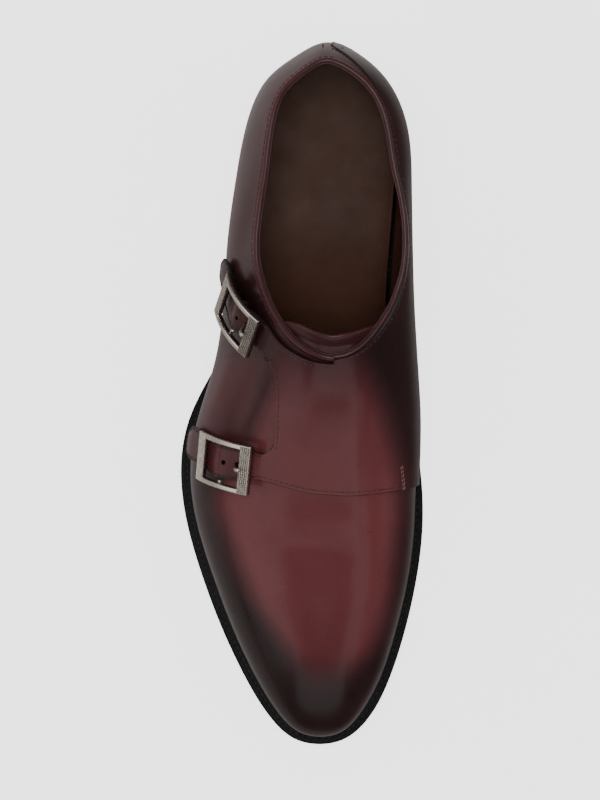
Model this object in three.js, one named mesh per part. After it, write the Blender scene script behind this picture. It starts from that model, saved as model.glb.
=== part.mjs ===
// A double monk strap shoe for the right foot, in millimetres, +Z up.
// The toe points along -Y, the outer side of the foot is -X and the inner side is +X.
// The origin is on the floor, under the middle of the sole's box.
import * as THREE from 'three';

// Driving dimensions
const length = 302; // outsole, heel edge to toe edge
const ballWidth = 106; // outsole across the ball
const instep = 90; // floor to the throat of the vamp
const heelHeight = 24; // floor to the outsole at the heel
const toeSpring = 9; // floor to the outsole at the toe
const gap = 0.3; // between pieces that meet
const curvedGap = 0.6; // between the upper and the flap over it, so that their facets stay apart

// Thicknesses
const sole = 5.5;
const weltHeight = 2.9;
const wall = 2.2;
const strap = 2.0;
const topLift = 6;
const insole = 2.6; // above the welt

// The forefoot stands on a flat tread between these two places, and the heel starts at the breast.
const treadBack = -18;
const treadFront = -62;
const breast = 86;

// Outlines, as a row for each section. Places along the shoe are percent of the length from its
// middle, toe negative, and places across it are percent of the ball width from the origin.
const soleEnds = { heel: [11.8, 49.5], toe: [7.8, -50] };
const soleRows = [
  // along, lateral, medial
  [47.7, -1.4, 25], [43.4, -13.7, 37.3], [36.8, -20.3, 43.4], [29.1, -22.2, 43.4], [20.5, -22.6, 39.6],
  [11.9, -26.4, 37.3], [4, -36.8, 39.6], [-3.3, -47.2, 45.3], [-11.3, -50.4, 49.2], [-18.9, -47.4, 49.8],
  [-26.5, -40.9, 47.2], [-33.8, -32.8, 42.5], [-40.4, -23.6, 36.4], [-46, -13.4, 28.1], [-49.3, -2.6, 17.4],
];
// The upper's widest line, seen from above.
const sideEnds = { heel: [11.8, 50], toe: [7.7, -48.7] };
const sideRows = [
  [48.3, 0, 24.1], [44.9, -12.5, 34.9], [38.4, -21, 43.4], [30.5, -25.3, 45.3], [21.9, -28.7, 45.5],
  [12.6, -31.1, 45.5], [4.6, -35.4, 46.6], [-3.3, -42.6, 47.7], [-11.3, -45.5, 47.2], [-18.9, -42.3, 46.4],
  [-26.5, -35.5, 43.7], [-33.8, -27.5, 38.7], [-39.7, -19.4, 33.2], [-45, -10, 25.1], [-48, -0.9, 16.6],
];

// The last's ridge: percent of the length, percent of the ball width, percent of the instep height.
// Behind the throat the heights are those of the leg that the collar is cut from.
const ridge = table(['along', 'across', 'height'], [
  [-50, 7.8, 45], [-41.4, 8.4, 49.2], [-33.1, 9.5, 53.7], [-24.8, 11.1, 59.4], [-16.6, 12.3, 67.8],
  [-8.3, 13.7, 79.4], [-1.7, 14.8, 89.4], [4.3, 15.5, 99.4], [8.6, 15.3, 108.3], [13.2, 14.7, 117.2],
  [19.9, 14.6, 125.6], [29.8, 14.6, 127.8], [53, 14.6, 128.9],
]);

// A half section runs from the feather line, where upper meets welt, out to the widest line and over
// to the ridge. tuck is how far the feather line lies inside the widest line, rise is the height of
// the widest line above it, and side and top say how full the wall and the shoulder are (0.55 round).
const section = table(
  ['along', 'rise', 'lateralTuck', 'lateralSide', 'lateralTop', 'medialTuck', 'medialSide', 'medialTop'],
  [
    [-49, 7, 1.2, 0.52, 0.6, 1.2, 0.52, 0.6],
    [-36.4, 9, 1.2, 0.5, 0.58, 1.2, 0.54, 0.58],
    [-23.2, 11, 1.3, 0.48, 0.54, 1.6, 0.56, 0.56],
    [-11.6, 13, 1.8, 0.42, 0.48, 2.6, 0.6, 0.56],
    [0, 15, 3.5, 0.32, 0.42, 6, 0.6, 0.56],
    [10, 17, 5.2, 0.22, 0.36, 8.6, 0.62, 0.62],
    [19.9, 19, 5.5, 0.2, 0.35, 7.5, 0.9, 0.9],
    [31.5, 19, 4.2, 0.18, 0.38, 4.6, 0.45, 0.72],
    [41.4, 18, 3.3, 0.3, 0.45, 3.3, 0.45, 0.65],
    [50, 18, 3, 0.45, 0.6, 3, 0.45, 0.6],
  ],
);

// Heights of the topline above the floor, as percent of the instep height.
const topline = table(['along', 'lateral', 'medial'], [
  [0, 107, 107], [4.3, 102.5, 102.5], [7.3, 97.8, 100], [12.6, 92.2, 97.2], [19.9, 88.9, 95.6],
  [31.8, 93.3, 98.3], [41.4, 97.8, 101.7], [46.7, 103.3, 103.3],
]);

// Rays run from the ridge out to the edge. They lie across the shoe along its middle and fan out
// round the heel and the toe, each fan narrowing to a pole on the ridge.
const fan = { start: 50, heelPole: 108, toePole: -100, share: 0.45, bend: 2.5 };
const widestShare = 0.18; // share of a half section below its widest line

// The strap flap covers the inner side and the instep. Its edges on the inner side and over the
// ridge: share of the half section from the feather line, then the front and rear edges in mm.
const flapRows = table(['share', 'front', 'rear'], [
  [0.06, -37, 36], [0.3, -38, 35], [0.5, -39, 33],
  [0.62, -39.6, 29], [0.8, -40.4, 19], [1, -40.5, 14.4],
]);
const flapSteps = { medial: 16, lateral: 6, first: 0.06 };
// Its free edge between the two straps, from front to rear.
const freeEdge = [
  { along: -20.5, share: 0.77 }, { along: -8, share: 0.764 },
  { along: 6, share: 0.737 }, { along: 14.5, share: 0.685 },
];
// Each strap's front and rear edges from its root to its cut tip, and how far it stands off the upper:
// up over the buckle's bar and down again. The crown is the flat end of the tip.
const strapShares = [0, 0.25, 0.4, 0.6, 0.75, 1];
const strapHole = { row: 3, column: 3 };
const straps = {
  lower: {
    rows: [
      { front: [-34.2, 0.718], rear: [-23.8, 0.733], lift: 0.7 },
      { front: [-34, 0.68], rear: [-22.4, 0.69], lift: 1.7 },
      { front: [-33.7, 0.628], rear: [-21, 0.635], lift: 2.4 },
      { front: [-33, 0.577], rear: [-19.8, 0.58], lift: 5 },
      { front: [-31.8, 0.525], rear: [-18.2, 0.525], lift: 2.4 },
      { front: [-28.4, 0.42], rear: [-14.8, 0.41], lift: 1.7 },
      { front: [-26.6, 0.33], rear: [-12.4, 0.31], lift: 1.5 },
    ],
    crown: { front: [-23.2, 0.245], rear: [-15, 0.235] },
  },
  upper: {
    rows: [
      { front: [20, 0.628], rear: [29, 0.667], lift: 0.7 },
      { front: [23.4, 0.59], rear: [33.4, 0.628], lift: 1.7 },
      { front: [26.8, 0.545], rear: [37.4, 0.58], lift: 2.4 },
      { front: [29.9, 0.503], rear: [40.6, 0.537], lift: 5 },
      { front: [33.6, 0.457], rear: [44.2, 0.49], lift: 2.4 },
      { front: [41.6, 0.36], rear: [52, 0.405], lift: 1.7 },
      { front: [51.6, 0.262], rear: [57, 0.365], lift: 1.5 },
    ],
    crown: { front: [56.6, 0.262], rear: [59, 0.315] },
  },
};

// Buckles: a rectangular frame bent along the strap, with a hidden bar and a prong. Each is placed by
// its outer side bar, its middle and its inner side bar, as places along the shoe and shares.
const buckle = { along: 29.5, across: 21.3, sideBar: 4.4, endBar: 2.1, thick: 1.8, bend: 43, bar: 1.8 };
const buckles = {
  lower: { outer: [-24, 0.445], middle: [-26.9, 0.577], inner: [-29.9, 0.709], height: 6.3 },
  upper: { outer: [42.6, 0.425], middle: [34.8, 0.522], inner: [27, 0.62], height: 6.6 },
};
const barHeight = 2.6;
const tab = { thick: 1, half: 4.5, reach: 0.16 };

// The tongue, from under the vamp to its free top: share of the half section, sides -1 and 1.
const tongueRows = [
  { side: -1, share: 0.74, top: 30.5 }, { side: -1, share: 0.8, top: 29 },
  { side: -1, share: 0.88, top: 26 }, { side: -1, share: 0.95, top: 24.4 },
  { side: 1, share: 1, top: 24 }, { side: 1, share: 0.93, top: 24.6 },
  { side: 1, share: 0.85, top: 25.6 }, { side: 1, share: 0.76, top: 27.4 }, { side: 1, share: 0.68, top: 29 },
];
const tongue = { thick: 2, start: -16, steps: 8, clear: 1.8 };

// How fine the meshes are
const raysPerSide = 46;
const upperRows = 9;
const loopPoints = 1600;

// A natural cubic curve through values at rising stations.
function spline(stations, values) {
  const n = stations.length;
  const step = stations.slice(1).map((s, i) => s - stations[i]);
  const upper = new Array(n).fill(0);
  const bend = new Array(n).fill(0);
  for (let i = 1; i < n - 1; i += 1) {
    const rise = (values[i + 1] - values[i]) / step[i] - (values[i] - values[i - 1]) / step[i - 1];
    const pivot = 2 * (step[i - 1] + step[i]) - step[i - 1] * upper[i - 1];
    upper[i] = step[i] / pivot;
    bend[i] = (6 * rise - step[i - 1] * bend[i - 1]) / pivot;
  }
  for (let i = n - 2; i > 0; i -= 1) {
    bend[i] -= upper[i] * bend[i + 1];
  }
  return (at) => {
    let i = 0;
    while (i < n - 2 && at > stations[i + 1]) {
      i += 1;
    }
    const p = (at - stations[i]) / step[i];
    const q = 1 - p;
    const cubic = (q ** 3 - q) * bend[i] + (p ** 3 - p) * bend[i + 1];
    return q * values[i] + p * values[i + 1] + (cubic * step[i] ** 2) / 6;
  };
}

// One curve for each named column of a table, over its first column.
function table(names, rows) {
  const stations = rows.map((row) => row[0]);
  const columns = names.slice(1).map((name, i) => {
    const values = rows.map((row) => row[i + 1]);
    return [name, spline(stations, values)];
  });
  return Object.fromEntries(columns);
}

// A closed outline through the rows' lateral and medial points and the two ends, in mm.
function outline(rows, ends) {
  const lateral = rows.map(([along, x]) => [x, along]);
  const medial = rows.map(([along, , x]) => [x, along]).reverse();
  const around = [ends.heel, ...lateral, ends.toe, ...medial];
  const points = around.map(([x, y]) => [(x * ballWidth) / 100, (y * length) / 100]);
  const count = points.length;
  const overlap = 4;
  const wrapped = [...points.slice(-overlap), ...points, ...points.slice(0, overlap + 1)];
  const stations = [0];
  for (let i = 1; i < wrapped.length; i += 1) {
    const [a, b] = [wrapped[i - 1], wrapped[i]];
    stations.push(stations[i - 1] + Math.hypot(b[0] - a[0], b[1] - a[1]));
  }
  const x = spline(stations, wrapped.map((p) => p[0]));
  const y = spline(stations, wrapped.map((p) => p[1]));
  const [first, last] = [stations[overlap], stations[overlap + count]];
  return Array.from({ length: loopPoints }, (_, i) => {
    const s = first + ((last - first) * i) / loopPoints;
    return [x(s), y(s)];
  });
}

const soleLoop = outline(soleRows, soleEnds);
const sideLoop = outline(sideRows, sideEnds);

const percent = (y) => (y * 100) / length;
const ridgeAcross = (y) => (ridge.across(percent(y)) * ballWidth) / 100;
const ridgeHeight = (y) => (ridge.height(percent(y)) * instep) / 100;

// Height of the outsole's underside: flat tread, arch up to the heel breast, toe spring.
function underside(y) {
  const arch = THREE.MathUtils.smoothstep(y, treadBack, breast) * heelHeight;
  const toe = Math.max(0, (treadFront - y) / (treadFront + length / 2));
  return arch + toeSpring * toe ** 2;
}

const weltTop = (y) => underside(y) + sole + gap + weltHeight;
const feather = (y) => weltTop(y) + gap;

// The ray at place t, from -1 at the heel to 1 at the toe, on side -1 (lateral) or 1 (medial).
function ray(t, side) {
  const turn = Math.max(0, (Math.abs(t) - fan.share) / (1 - fan.share));
  const start = -Math.sign(t) * fan.start;
  const pole = t > 0 ? fan.toePole : fan.heelPole;
  const y = turn > 0 ? start + (pole - start) * (1 - (1 - turn) ** 2) : (-fan.start * t) / fan.share;
  const angle = (Math.sign(t) * Math.PI * turn ** fan.bend) / 2;
  return { x: ridgeAcross(y), y, dx: side * Math.cos(angle), dy: -Math.sin(angle) };
}

// Distance along a ray to an outline.
function reach(from, loop) {
  let nearest = Infinity;
  for (let i = 0; i < loop.length; i += 1) {
    const a = loop[i];
    const b = loop[(i + 1) % loop.length];
    const [ex, ey] = [b[0] - a[0], b[1] - a[1]];
    const [ax, ay] = [a[0] - from.x, a[1] - from.y];
    const cross = from.dx * ey - from.dy * ex;
    const far = (ax * ey - ay * ex) / cross;
    const share = (ax * from.dy - ay * from.dx) / cross;
    if (share >= 0 && share <= 1 && far > 0 && far < nearest) {
      nearest = far;
    }
  }
  return nearest;
}

function bezier(p, a, b, c, d) {
  const q = 1 - p;
  return q ** 3 * a + 3 * q * q * p * b + 3 * q * p * p * c + p ** 3 * d;
}

// The half section of the last at ray t, as a function from share (0 feather line, 1 ridge) to a point.
function halfSection(t, side) {
  const from = ray(t, side);
  const widest = reach(from, sideLoop);
  const along = percent(from.y + widest * from.dy);
  const name = side < 0 ? 'lateral' : 'medial';
  const inner = widest - section[`${name}Tuck`](along);
  const full = section[`${name}Side`](along);
  const shoulder = widest * section[`${name}Top`](along);
  const rise = section.rise(along);
  return (share) => {
    const low = Math.min(1, share / widestShare);
    const up = Math.max(0, (share - widestShare) / (1 - widestShare));
    const tucked = widest - (widest - inner) * (1 - low) ** 3;
    const out = up > 0 ? bezier(up, widest, widest, shoulder, 0) : tucked;
    const y = from.y + out * from.dy;
    const base = feather(y) + rise * low;
    const z = base + (ridgeHeight(y) - base) * bezier(up, 0, full, 1, 1);
    return new THREE.Vector3(from.x + out * from.dx, y, z);
  };
}

// The ray place t whose rays cross the shoe at y, away from the fans.
function placeOf(y) {
  if (Math.abs(y) <= fan.start) {
    return (-y * fan.share) / fan.start;
  }
  const pole = y > 0 ? fan.heelPole : fan.toePole;
  const start = Math.sign(y) * fan.start;
  const turn = 1 - Math.sqrt(Math.max(0, 1 - (y - start) / (pole - start)));
  return -Math.sign(y) * (fan.share + turn * (1 - fan.share));
}

// A point of the last at y along the shoe and a share of its half section.
function lastPoint(y, share, side) {
  return halfSection(placeOf(y), side)(share);
}

function lastNormal(y, share, side) {
  const small = 0.5;
  const tiny = 0.01;
  const forward = lastPoint(y - small, share, side).sub(lastPoint(y + small, share, side));
  const up = lastPoint(y, Math.min(1, share + tiny), side).sub(lastPoint(y, share - tiny, side));
  return forward.cross(up).multiplyScalar(-side).normalize();
}

// A point standing off the last.
function onLast(y, share, side, height) {
  return lastPoint(y, share, side).addScaledVector(lastNormal(y, share, side), height);
}

// Ray places whose feet are evenly spaced round the widest line.
function evenPlaces(count) {
  const fine = 400;
  const feet = Array.from({ length: fine + 1 }, (_, i) => {
    const t = -1 + (2 * i) / fine;
    const from = ray(t, -1);
    const far = reach(from, sideLoop);
    return { t, x: from.x + far * from.dx, y: from.y + far * from.dy, run: 0 };
  });
  for (let i = 1; i <= fine; i += 1) {
    feet[i].run = feet[i - 1].run + Math.hypot(feet[i].x - feet[i - 1].x, feet[i].y - feet[i - 1].y);
  }
  return Array.from({ length: count + 1 }, (_, i) => {
    const run = (feet[fine].run * i) / count;
    const j = Math.min(fine, Math.max(1, feet.findIndex((foot) => foot.run >= run)));
    const p = (run - feet[j - 1].run) / (feet[j].run - feet[j - 1].run);
    return feet[j - 1].t + p * (feet[j].t - feet[j - 1].t);
  });
}

const places = evenPlaces(raysPerSide);

// A skin is a list of points and of cells, each cell three or four points anticlockwise from outside.
// Points in the same place become one.
function skin(quads) {
  const points = [];
  const cells = [];
  const seen = new Map();
  const index = (p) => {
    const key = [p.x, p.y, p.z].map((v) => Math.round(v * 1000)).join();
    if (!seen.has(key)) {
      seen.set(key, points.length);
      points.push(p);
    }
    return seen.get(key);
  };
  for (const quad of quads) {
    const cell = [...new Set(quad.map(index))];
    if (cell.length > 2) {
      cells.push(cell);
    }
  }
  return { points, cells };
}

// Quads between neighbouring lines of points. A point shows as null outside the grid's outline, and
// a hole is where isHole(line, column) is true.
function gridQuads(lines, isHole = () => false) {
  const quads = [];
  for (let i = 1; i < lines.length; i += 1) {
    for (let k = 1; k < lines[i].length; k += 1) {
      const quad = [lines[i - 1][k - 1], lines[i][k - 1], lines[i][k], lines[i - 1][k]];
      if (quad.every(Boolean) && !isHole(i, k)) {
        quads.push(quad);
      }
    }
  }
  return quads;
}

// Quads all round the shoe: row(t, side) gives a ray's points from the edge to the ridge. The two
// sides share the ray at the heel and the one at the toe.
function roundQuads(row) {
  const lateral = places.map((t) => row(t, -1));
  const inBetween = places.slice(1, -1).map((t) => row(t, 1));
  const medial = [lateral[0], ...inBetween, lateral[lateral.length - 1]];
  return [...gridQuads(lateral), ...gridQuads(medial.reverse())];
}

// A closed solid between two skins of the same cells.
function solid(cells, outside, inside) {
  const n = outside.length;
  const faces = [];
  const edges = new Set();
  for (const cell of cells) {
    for (let i = 1; i < cell.length - 1; i += 1) {
      faces.push([cell[0], cell[i], cell[i + 1]]);
      faces.push([cell[0] + n, cell[i + 1] + n, cell[i] + n]);
    }
    cell.forEach((a, i) => edges.add(`${a},${cell[(i + 1) % cell.length]}`));
  }
  for (const edge of edges) {
    const [a, b] = edge.split(',').map(Number);
    if (!edges.has(`${b},${a}`)) {
      faces.push([b, a, a + n], [b, a + n, b + n]);
    }
  }
  const geometry = new THREE.BufferGeometry();
  geometry.setFromPoints([...outside, ...inside]);
  geometry.setIndex(faces.flat());
  geometry.computeVertexNormals();
  return geometry;
}

// A wall whose outer face stands off a skin by one distance and whose inner face by another.
function wallOn({ points, cells }, outer, inner) {
  const normals = points.map(() => new THREE.Vector3());
  for (const cell of cells) {
    const [a, b, c] = cell.map((i) => points[i]);
    const face = new THREE.Vector3().subVectors(b, a).cross(new THREE.Vector3().subVectors(c, a));
    cell.forEach((i) => normals[i].add(face));
  }
  normals.forEach((normal) => normal.normalize());
  const moved = (distance) => points.map((p, i) => p.clone().addScaledVector(normals[i], distance));
  return solid(cells, moved(outer), moved(inner));
}

// A plate between two heights that depend on y, inside an outline drawn in by an inset.
function plate(loop, inset, low, high, shares) {
  const { points, cells } = skin(roundQuads((t, side) => {
    const from = ray(t, side);
    const far = reach(from, loop) - inset(from, side);
    return shares.map((share) => {
      const out = far * share;
      return new THREE.Vector3(from.x + out * from.dx, from.y + out * from.dy, 0);
    });
  }));
  const at = (height) => points.map((p) => new THREE.Vector3(p.x, p.y, height(p.y)));
  return solid(cells, at(high), at(low));
}

// How far the feather line lies inside a loop on a ray.
function featherInset(from, side, loop) {
  const widest = reach(from, sideLoop);
  const along = percent(from.y + widest * from.dy);
  return reach(from, loop) - widest + section[side < 0 ? 'lateralTuck' : 'medialTuck'](along);
}

function outsole() {
  return plate(soleLoop, () => 0, underside, (y) => underside(y) + sole, [1, 0.75, 0.4, 0]);
}

// The welt is a ring under the upper's edge.
function welt() {
  const low = (y) => weltTop(y) - weltHeight;
  const { points, cells } = skin(roundQuads((t, side) => {
    const from = ray(t, side);
    const far = reach(from, soleLoop);
    return [far, far - featherInset(from, side, soleLoop) - wall].map(
      (out) => new THREE.Vector3(from.x + out * from.dx, from.y + out * from.dy, 0),
    );
  }));
  const at = (height) => points.map((p) => new THREE.Vector3(p.x, p.y, height(p.y)));
  return solid(cells, at(weltTop), at(low));
}

function insoleBoard() {
  const inset = (from, side) => featherInset(from, side, soleLoop) + wall + 2 * gap;
  const low = (y) => underside(y) + sole + gap;
  return plate(soleLoop, inset, low, (y) => feather(y) + insole, [1, 0.7, 0.35, 0]);
}

// A block of the heel between two levels, its front hollowed a little and its sides drawn in downwards.
function heelBlock(low, high) {
  const hollow = 5;
  const taper = 0.06;
  const centre = new THREE.Vector2(ridgeAcross(fan.heelPole), fan.heelPole);
  const cut = soleLoop.findIndex(([, y]) => y < breast + gap);
  const wound = [...soleLoop.slice(cut), ...soleLoop.slice(0, cut)];
  const rim = wound.filter(([, y], i) => y > breast + gap && i % 12 === 0);
  const [first, last] = [rim[0], rim[rim.length - 1]];
  const steps = 6;
  const front = Array.from({ length: steps - 1 }, (_, i) => {
    const p = (i + 1) / steps;
    const bow = hollow * 4 * p * (1 - p);
    return [last[0] + (first[0] - last[0]) * p, last[1] + (first[1] - last[1]) * p + bow];
  });
  const around = [...rim, ...front].map(([x, y]) => new THREE.Vector2(x, y));
  const cells = THREE.ShapeUtils.triangulateShape(around, []);
  const at = (z) => around.map((p) => {
    const shrink = 1 - (taper * (heelHeight - z)) / heelHeight;
    return new THREE.Vector3(centre.x + (p.x - centre.x) * shrink, centre.y + (p.y - centre.y) * shrink, z);
  });
  return solid(cells, at(high), at(low));
}

// The share of a half section at which it reaches the topline, or 1 where it stays under it.
function toplineShare(curve, side) {
  const name = side < 0 ? 'lateral' : 'medial';
  const over = (share) => {
    const p = curve(share);
    const along = Math.min(46.7, Math.max(0, percent(p.y)));
    return p.z - (topline[name](along) * instep) / 100;
  };
  if (over(1) <= 0) {
    return 1;
  }
  let [below, above] = [0, 1];
  for (let i = 0; i < 30; i += 1) {
    const middle = (below + above) / 2;
    if (over(middle) > 0) {
      above = middle;
    } else {
      below = middle;
    }
  }
  return below;
}

// The hollow upper, open at the collar and underneath.
function upper() {
  const quads = roundQuads((t, side) => {
    const curve = halfSection(t, side);
    const end = toplineShare(curve, side);
    return Array.from({ length: upperRows + 1 }, (_, k) => curve((end * k) / upperRows));
  });
  return wallOn(skin(quads), 0, -wall);
}

function tongueFlap() {
  const place = (row, i) => {
    const y = tongue.start + ((row.top - tongue.start) * i) / tongue.steps;
    return lastPoint(y, row.share, row.side);
  };
  const lines = Array.from({ length: tongue.steps + 1 }, (_, i) => tongueRows.map((row) => place(row, i)));
  const depth = wall + tongue.clear;
  return wallOn(skin(gridQuads(lines).map((quad) => quad.reverse())), -depth, -depth - tongue.thick);
}

const between = (a, b, p) => a.map((v, i) => v + (b[i] - v) * p);

// A strap's lines of places on the outer side, from its root to its tip.
function strapLines({ rows, crown }) {
  return rows.map(({ front, rear, lift }, i) => strapShares.map((p, j) => {
    const onCrown = i === rows.length - 1 && j > 0 && j < strapShares.length - 1;
    const place = onCrown ? between(crown.front, crown.rear, (p - 0.25) / 0.5) : between(front, rear, p);
    return [...place, -1, lift];
  }));
}

// The strap flap with its two straps: each line of points runs from the front edge to the rear.
function strapFlap() {
  const [lower, upperStrap] = [strapLines(straps.lower), strapLines(straps.upper)];
  const free = freeEdge.map(({ along, share }) => [along, share, -1, curvedGap]);
  const edge = [...lower[0], ...free, ...upperStrap[0]];
  const across = edge.map(([along]) => (along - edge[0][0]) / (edge[edge.length - 1][0] - edge[0][0]));
  const lines = [];
  for (let i = 0; i <= flapSteps.medial; i += 1) {
    const share = flapSteps.first + ((1 - flapSteps.first) * i) / flapSteps.medial;
    const [front, rear] = [flapRows.front(share), flapRows.rear(share)];
    lines.push(across.map((p) => [front + (rear - front) * p, share, 1, curvedGap]));
  }
  const ridgeLine = lines[lines.length - 1];
  for (let i = 1; i <= flapSteps.lateral; i += 1) {
    const p = i / flapSteps.lateral;
    lines.push(edge.map(([along, share, side, lift], j) => {
      const start = ridgeLine[j][0];
      const height = curvedGap + (lift - curvedGap) * p ** 3;
      return [start + (along - start) * p ** 2, 1 + (share - 1) * p, side, height];
    }));
  }
  const holeLine = lines.length - 1 + strapHole.row;
  const holeColumns = [strapHole.column, strapHole.column + lower[0].length + free.length];
  const isHole = (i, k) => i === holeLine && holeColumns.includes(k);
  const blank = new Array(free.length).fill(null);
  for (let i = 1; i < lower.length; i += 1) {
    lines.push([...lower[i], ...blank, ...upperStrap[i]]);
  }
  const face = (raise) => {
    const points = lines.map((line) => line.map((place) => (
      place && onLast(place[0], place[1], place[2], place[3] + raise)
    )));
    return skin(gridQuads(points, isHole).map((quad) => quad.reverse()));
  };
  const low = face(0);
  return solid(low.cells, face(strap).points, low.points);
}

// A tab lies on the outer quarter under a strap and holds the buckle's bar.
function buckleTab({ outer, middle }) {
  const lines = [-1, -0.33, 0.33, 1].map((across) => Array.from({ length: 5 }, (_, i) => {
    const p = i / 4;
    const share = middle[1] + 0.01 - tab.reach * p;
    const y = middle[0] + ((outer[0] - middle[0]) * p * tab.reach) / (middle[1] - outer[1]);
    return [y + across * tab.half, share, -1];
  }));
  const face = (height) => {
    const quads = gridQuads(lines.map((line) => line.map((place) => onLast(...place, height))));
    return skin(quads);
  };
  const low = face(gap);
  return solid(low.cells, face(gap + tab.thick).points, low.points);
}

// The buckle's own axes: x along the strap towards the ridge, y across it, z off the shoe.
function buckleAxes({ outer, middle, inner }, height) {
  const along = lastPoint(...inner, -1).sub(lastPoint(...outer, -1)).normalize();
  const off = lastNormal(...middle, -1);
  off.addScaledVector(along, -off.dot(along)).normalize();
  const across = new THREE.Vector3().crossVectors(off, along);
  const matrix = new THREE.Matrix4().makeBasis(along, across, off);
  return matrix.setPosition(lastPoint(...middle, -1).addScaledVector(off, height));
}

// The frame is a flat ring of bars bent along the strap.
function frameShape() {
  const { along, across, sideBar, endBar, thick, bend } = buckle;
  const xs = [-along / 2, -along / 2 + sideBar, -along / 6, 0, along / 6, along / 2 - sideBar, along / 2];
  const ys = [-across / 2, -across / 2 + endBar, across / 2 - endBar, across / 2];
  const last = xs.length - 2;
  const at = (x, y, height) => new THREE.Vector3(x, y, height - bend + Math.sqrt(bend ** 2 - x ** 2));
  const face = (height) => {
    const quads = [];
    for (let i = 0; i <= last; i += 1) {
      for (let j = 0; j < 3; j += 1) {
        if (i === 0 || i === last || j !== 1) {
          const [a, b, c, d] = [[i, j], [i + 1, j], [i + 1, j + 1], [i, j + 1]];
          quads.push([a, b, c, d].map(([k, m]) => at(xs[k], ys[m], height)));
        }
      }
    }
    return skin(quads);
  };
  const low = face(0);
  return solid(low.cells, face(thick).points, low.points);
}

function barShape() {
  const { across, endBar, bar } = buckle;
  const sides = 10;
  return new THREE.CylinderGeometry(bar / 2, bar / 2, across - 2 * endBar - 2 * gap, sides);
}

// The prong rises from the strap's hole and rests on the inner side bar.
function prongShape() {
  const width = 1.3;
  const thick = 1.2;
  const profile = [[1, -1.2], [2.4, 0.9], [5, 1.9], [9, 1], [12.4, 0.1]];
  const at = (y, raise) => profile.map(([x, z]) => new THREE.Vector3(x, y, z + raise));
  const low = skin(gridQuads([at(width / 2, 0), at(-width / 2, 0)]));
  const high = skin(gridQuads([at(width / 2, thick), at(-width / 2, thick)]));
  return solid(low.cells, high.points, low.points);
}

const leather = { color: 0x5a2026, roughness: 0.25, metalness: 0 };
const blackLeather = { color: 0x15100f, roughness: 0.45, metalness: 0 };
const rubber = { color: 0x141414, roughness: 0.8, metalness: 0 };
const sock = { color: 0x38231d, roughness: 0.6, metalness: 0 };
const nickel = { color: 0xa09a90, roughness: 0.3, metalness: 1 };

const shoe = new THREE.Group();

function add(name, geometry, look) {
  const mesh = new THREE.Mesh(geometry, new THREE.MeshStandardMaterial(look));
  mesh.name = name;
  shoe.add(mesh);
  return mesh;
}

add('outsole', outsole(), blackLeather);
add('welt', welt(), blackLeather);
add('heel_stack', heelBlock(topLift + gap, heelHeight - gap), blackLeather);
add('top_lift', heelBlock(0, topLift), rubber);
add('insole', insoleBoard(), sock);
add('upper', upper(), leather);
add('tongue', tongueFlap(), leather);
add('strap_flap', strapFlap(), leather);
for (const [name, place] of Object.entries(buckles)) {
  add(`tab_${name}`, buckleTab(place), leather);
  add(`buckle_${name}`, frameShape(), nickel).applyMatrix4(buckleAxes(place, place.height));
  add(`bar_${name}`, barShape(), nickel).applyMatrix4(buckleAxes(place, barHeight));
  add(`prong_${name}`, prongShape(), nickel).applyMatrix4(buckleAxes(place, place.height));
}

export default shoe;
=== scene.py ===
import math

import bmesh
import bpy
import numpy as np
from mathutils import Matrix, Vector


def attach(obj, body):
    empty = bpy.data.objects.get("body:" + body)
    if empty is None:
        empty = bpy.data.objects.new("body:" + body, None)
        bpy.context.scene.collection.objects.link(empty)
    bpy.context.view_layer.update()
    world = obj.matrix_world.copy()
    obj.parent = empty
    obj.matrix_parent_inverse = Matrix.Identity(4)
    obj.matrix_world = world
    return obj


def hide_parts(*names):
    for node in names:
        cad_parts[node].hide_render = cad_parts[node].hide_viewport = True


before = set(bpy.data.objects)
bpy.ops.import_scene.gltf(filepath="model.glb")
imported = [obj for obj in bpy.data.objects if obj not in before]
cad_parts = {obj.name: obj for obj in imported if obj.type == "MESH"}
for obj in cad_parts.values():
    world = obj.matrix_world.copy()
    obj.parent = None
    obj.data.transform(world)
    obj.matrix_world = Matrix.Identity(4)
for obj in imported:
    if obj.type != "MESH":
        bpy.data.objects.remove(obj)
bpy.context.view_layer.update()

# A right double monk strap shoe. Sizes are in millimetres in the CAD's frame and become metres as each
# mesh is made. A place on the last is (t, u): t runs from -1 at the heel to 1 at the toe, and u across
# the shoe from -1 at the outer feather line over the ridge, 0, to 1 at the inner feather line.
MM = 0.001

# The last, as the CAD has it
LENGTH, BALL_WIDTH, INSTEP = 302, 106, 90
HEEL, SPRING, SOLE, WELT, GAP = 24, 9, 5.5, 2.9, 0.3
WALL, TOP_LIFT, SOCK = 2.2, 6, 2.6
TREAD_BACK, TREAD_FRONT, BREAST = -18, -62, 86
FAN_START, HEEL_POLE, TOE_POLE, FAN_SHARE, FAN_BEND = 50, 108, -100, 0.45, 2.5
WIDEST_SHARE = 0.18
SOLE_ENDS = ((11.8, 49.5), (7.8, -50))
SOLE_ROWS = (  # along, lateral, medial
    (47.7, -1.4, 25), (43.4, -13.7, 37.3), (36.8, -20.3, 43.4), (29.1, -22.2, 43.4), (20.5, -22.6, 39.6),
    (11.9, -26.4, 37.3), (4, -36.8, 39.6), (-3.3, -47.2, 45.3), (-11.3, -50.4, 49.2), (-18.9, -47.4, 49.8),
    (-26.5, -40.9, 47.2), (-33.8, -32.8, 42.5), (-40.4, -23.6, 36.4), (-46, -13.4, 28.1), (-49.3, -2.6, 17.4),
)
SIDE_ENDS = ((11.8, 50), (7.7, -48.7))
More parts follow.
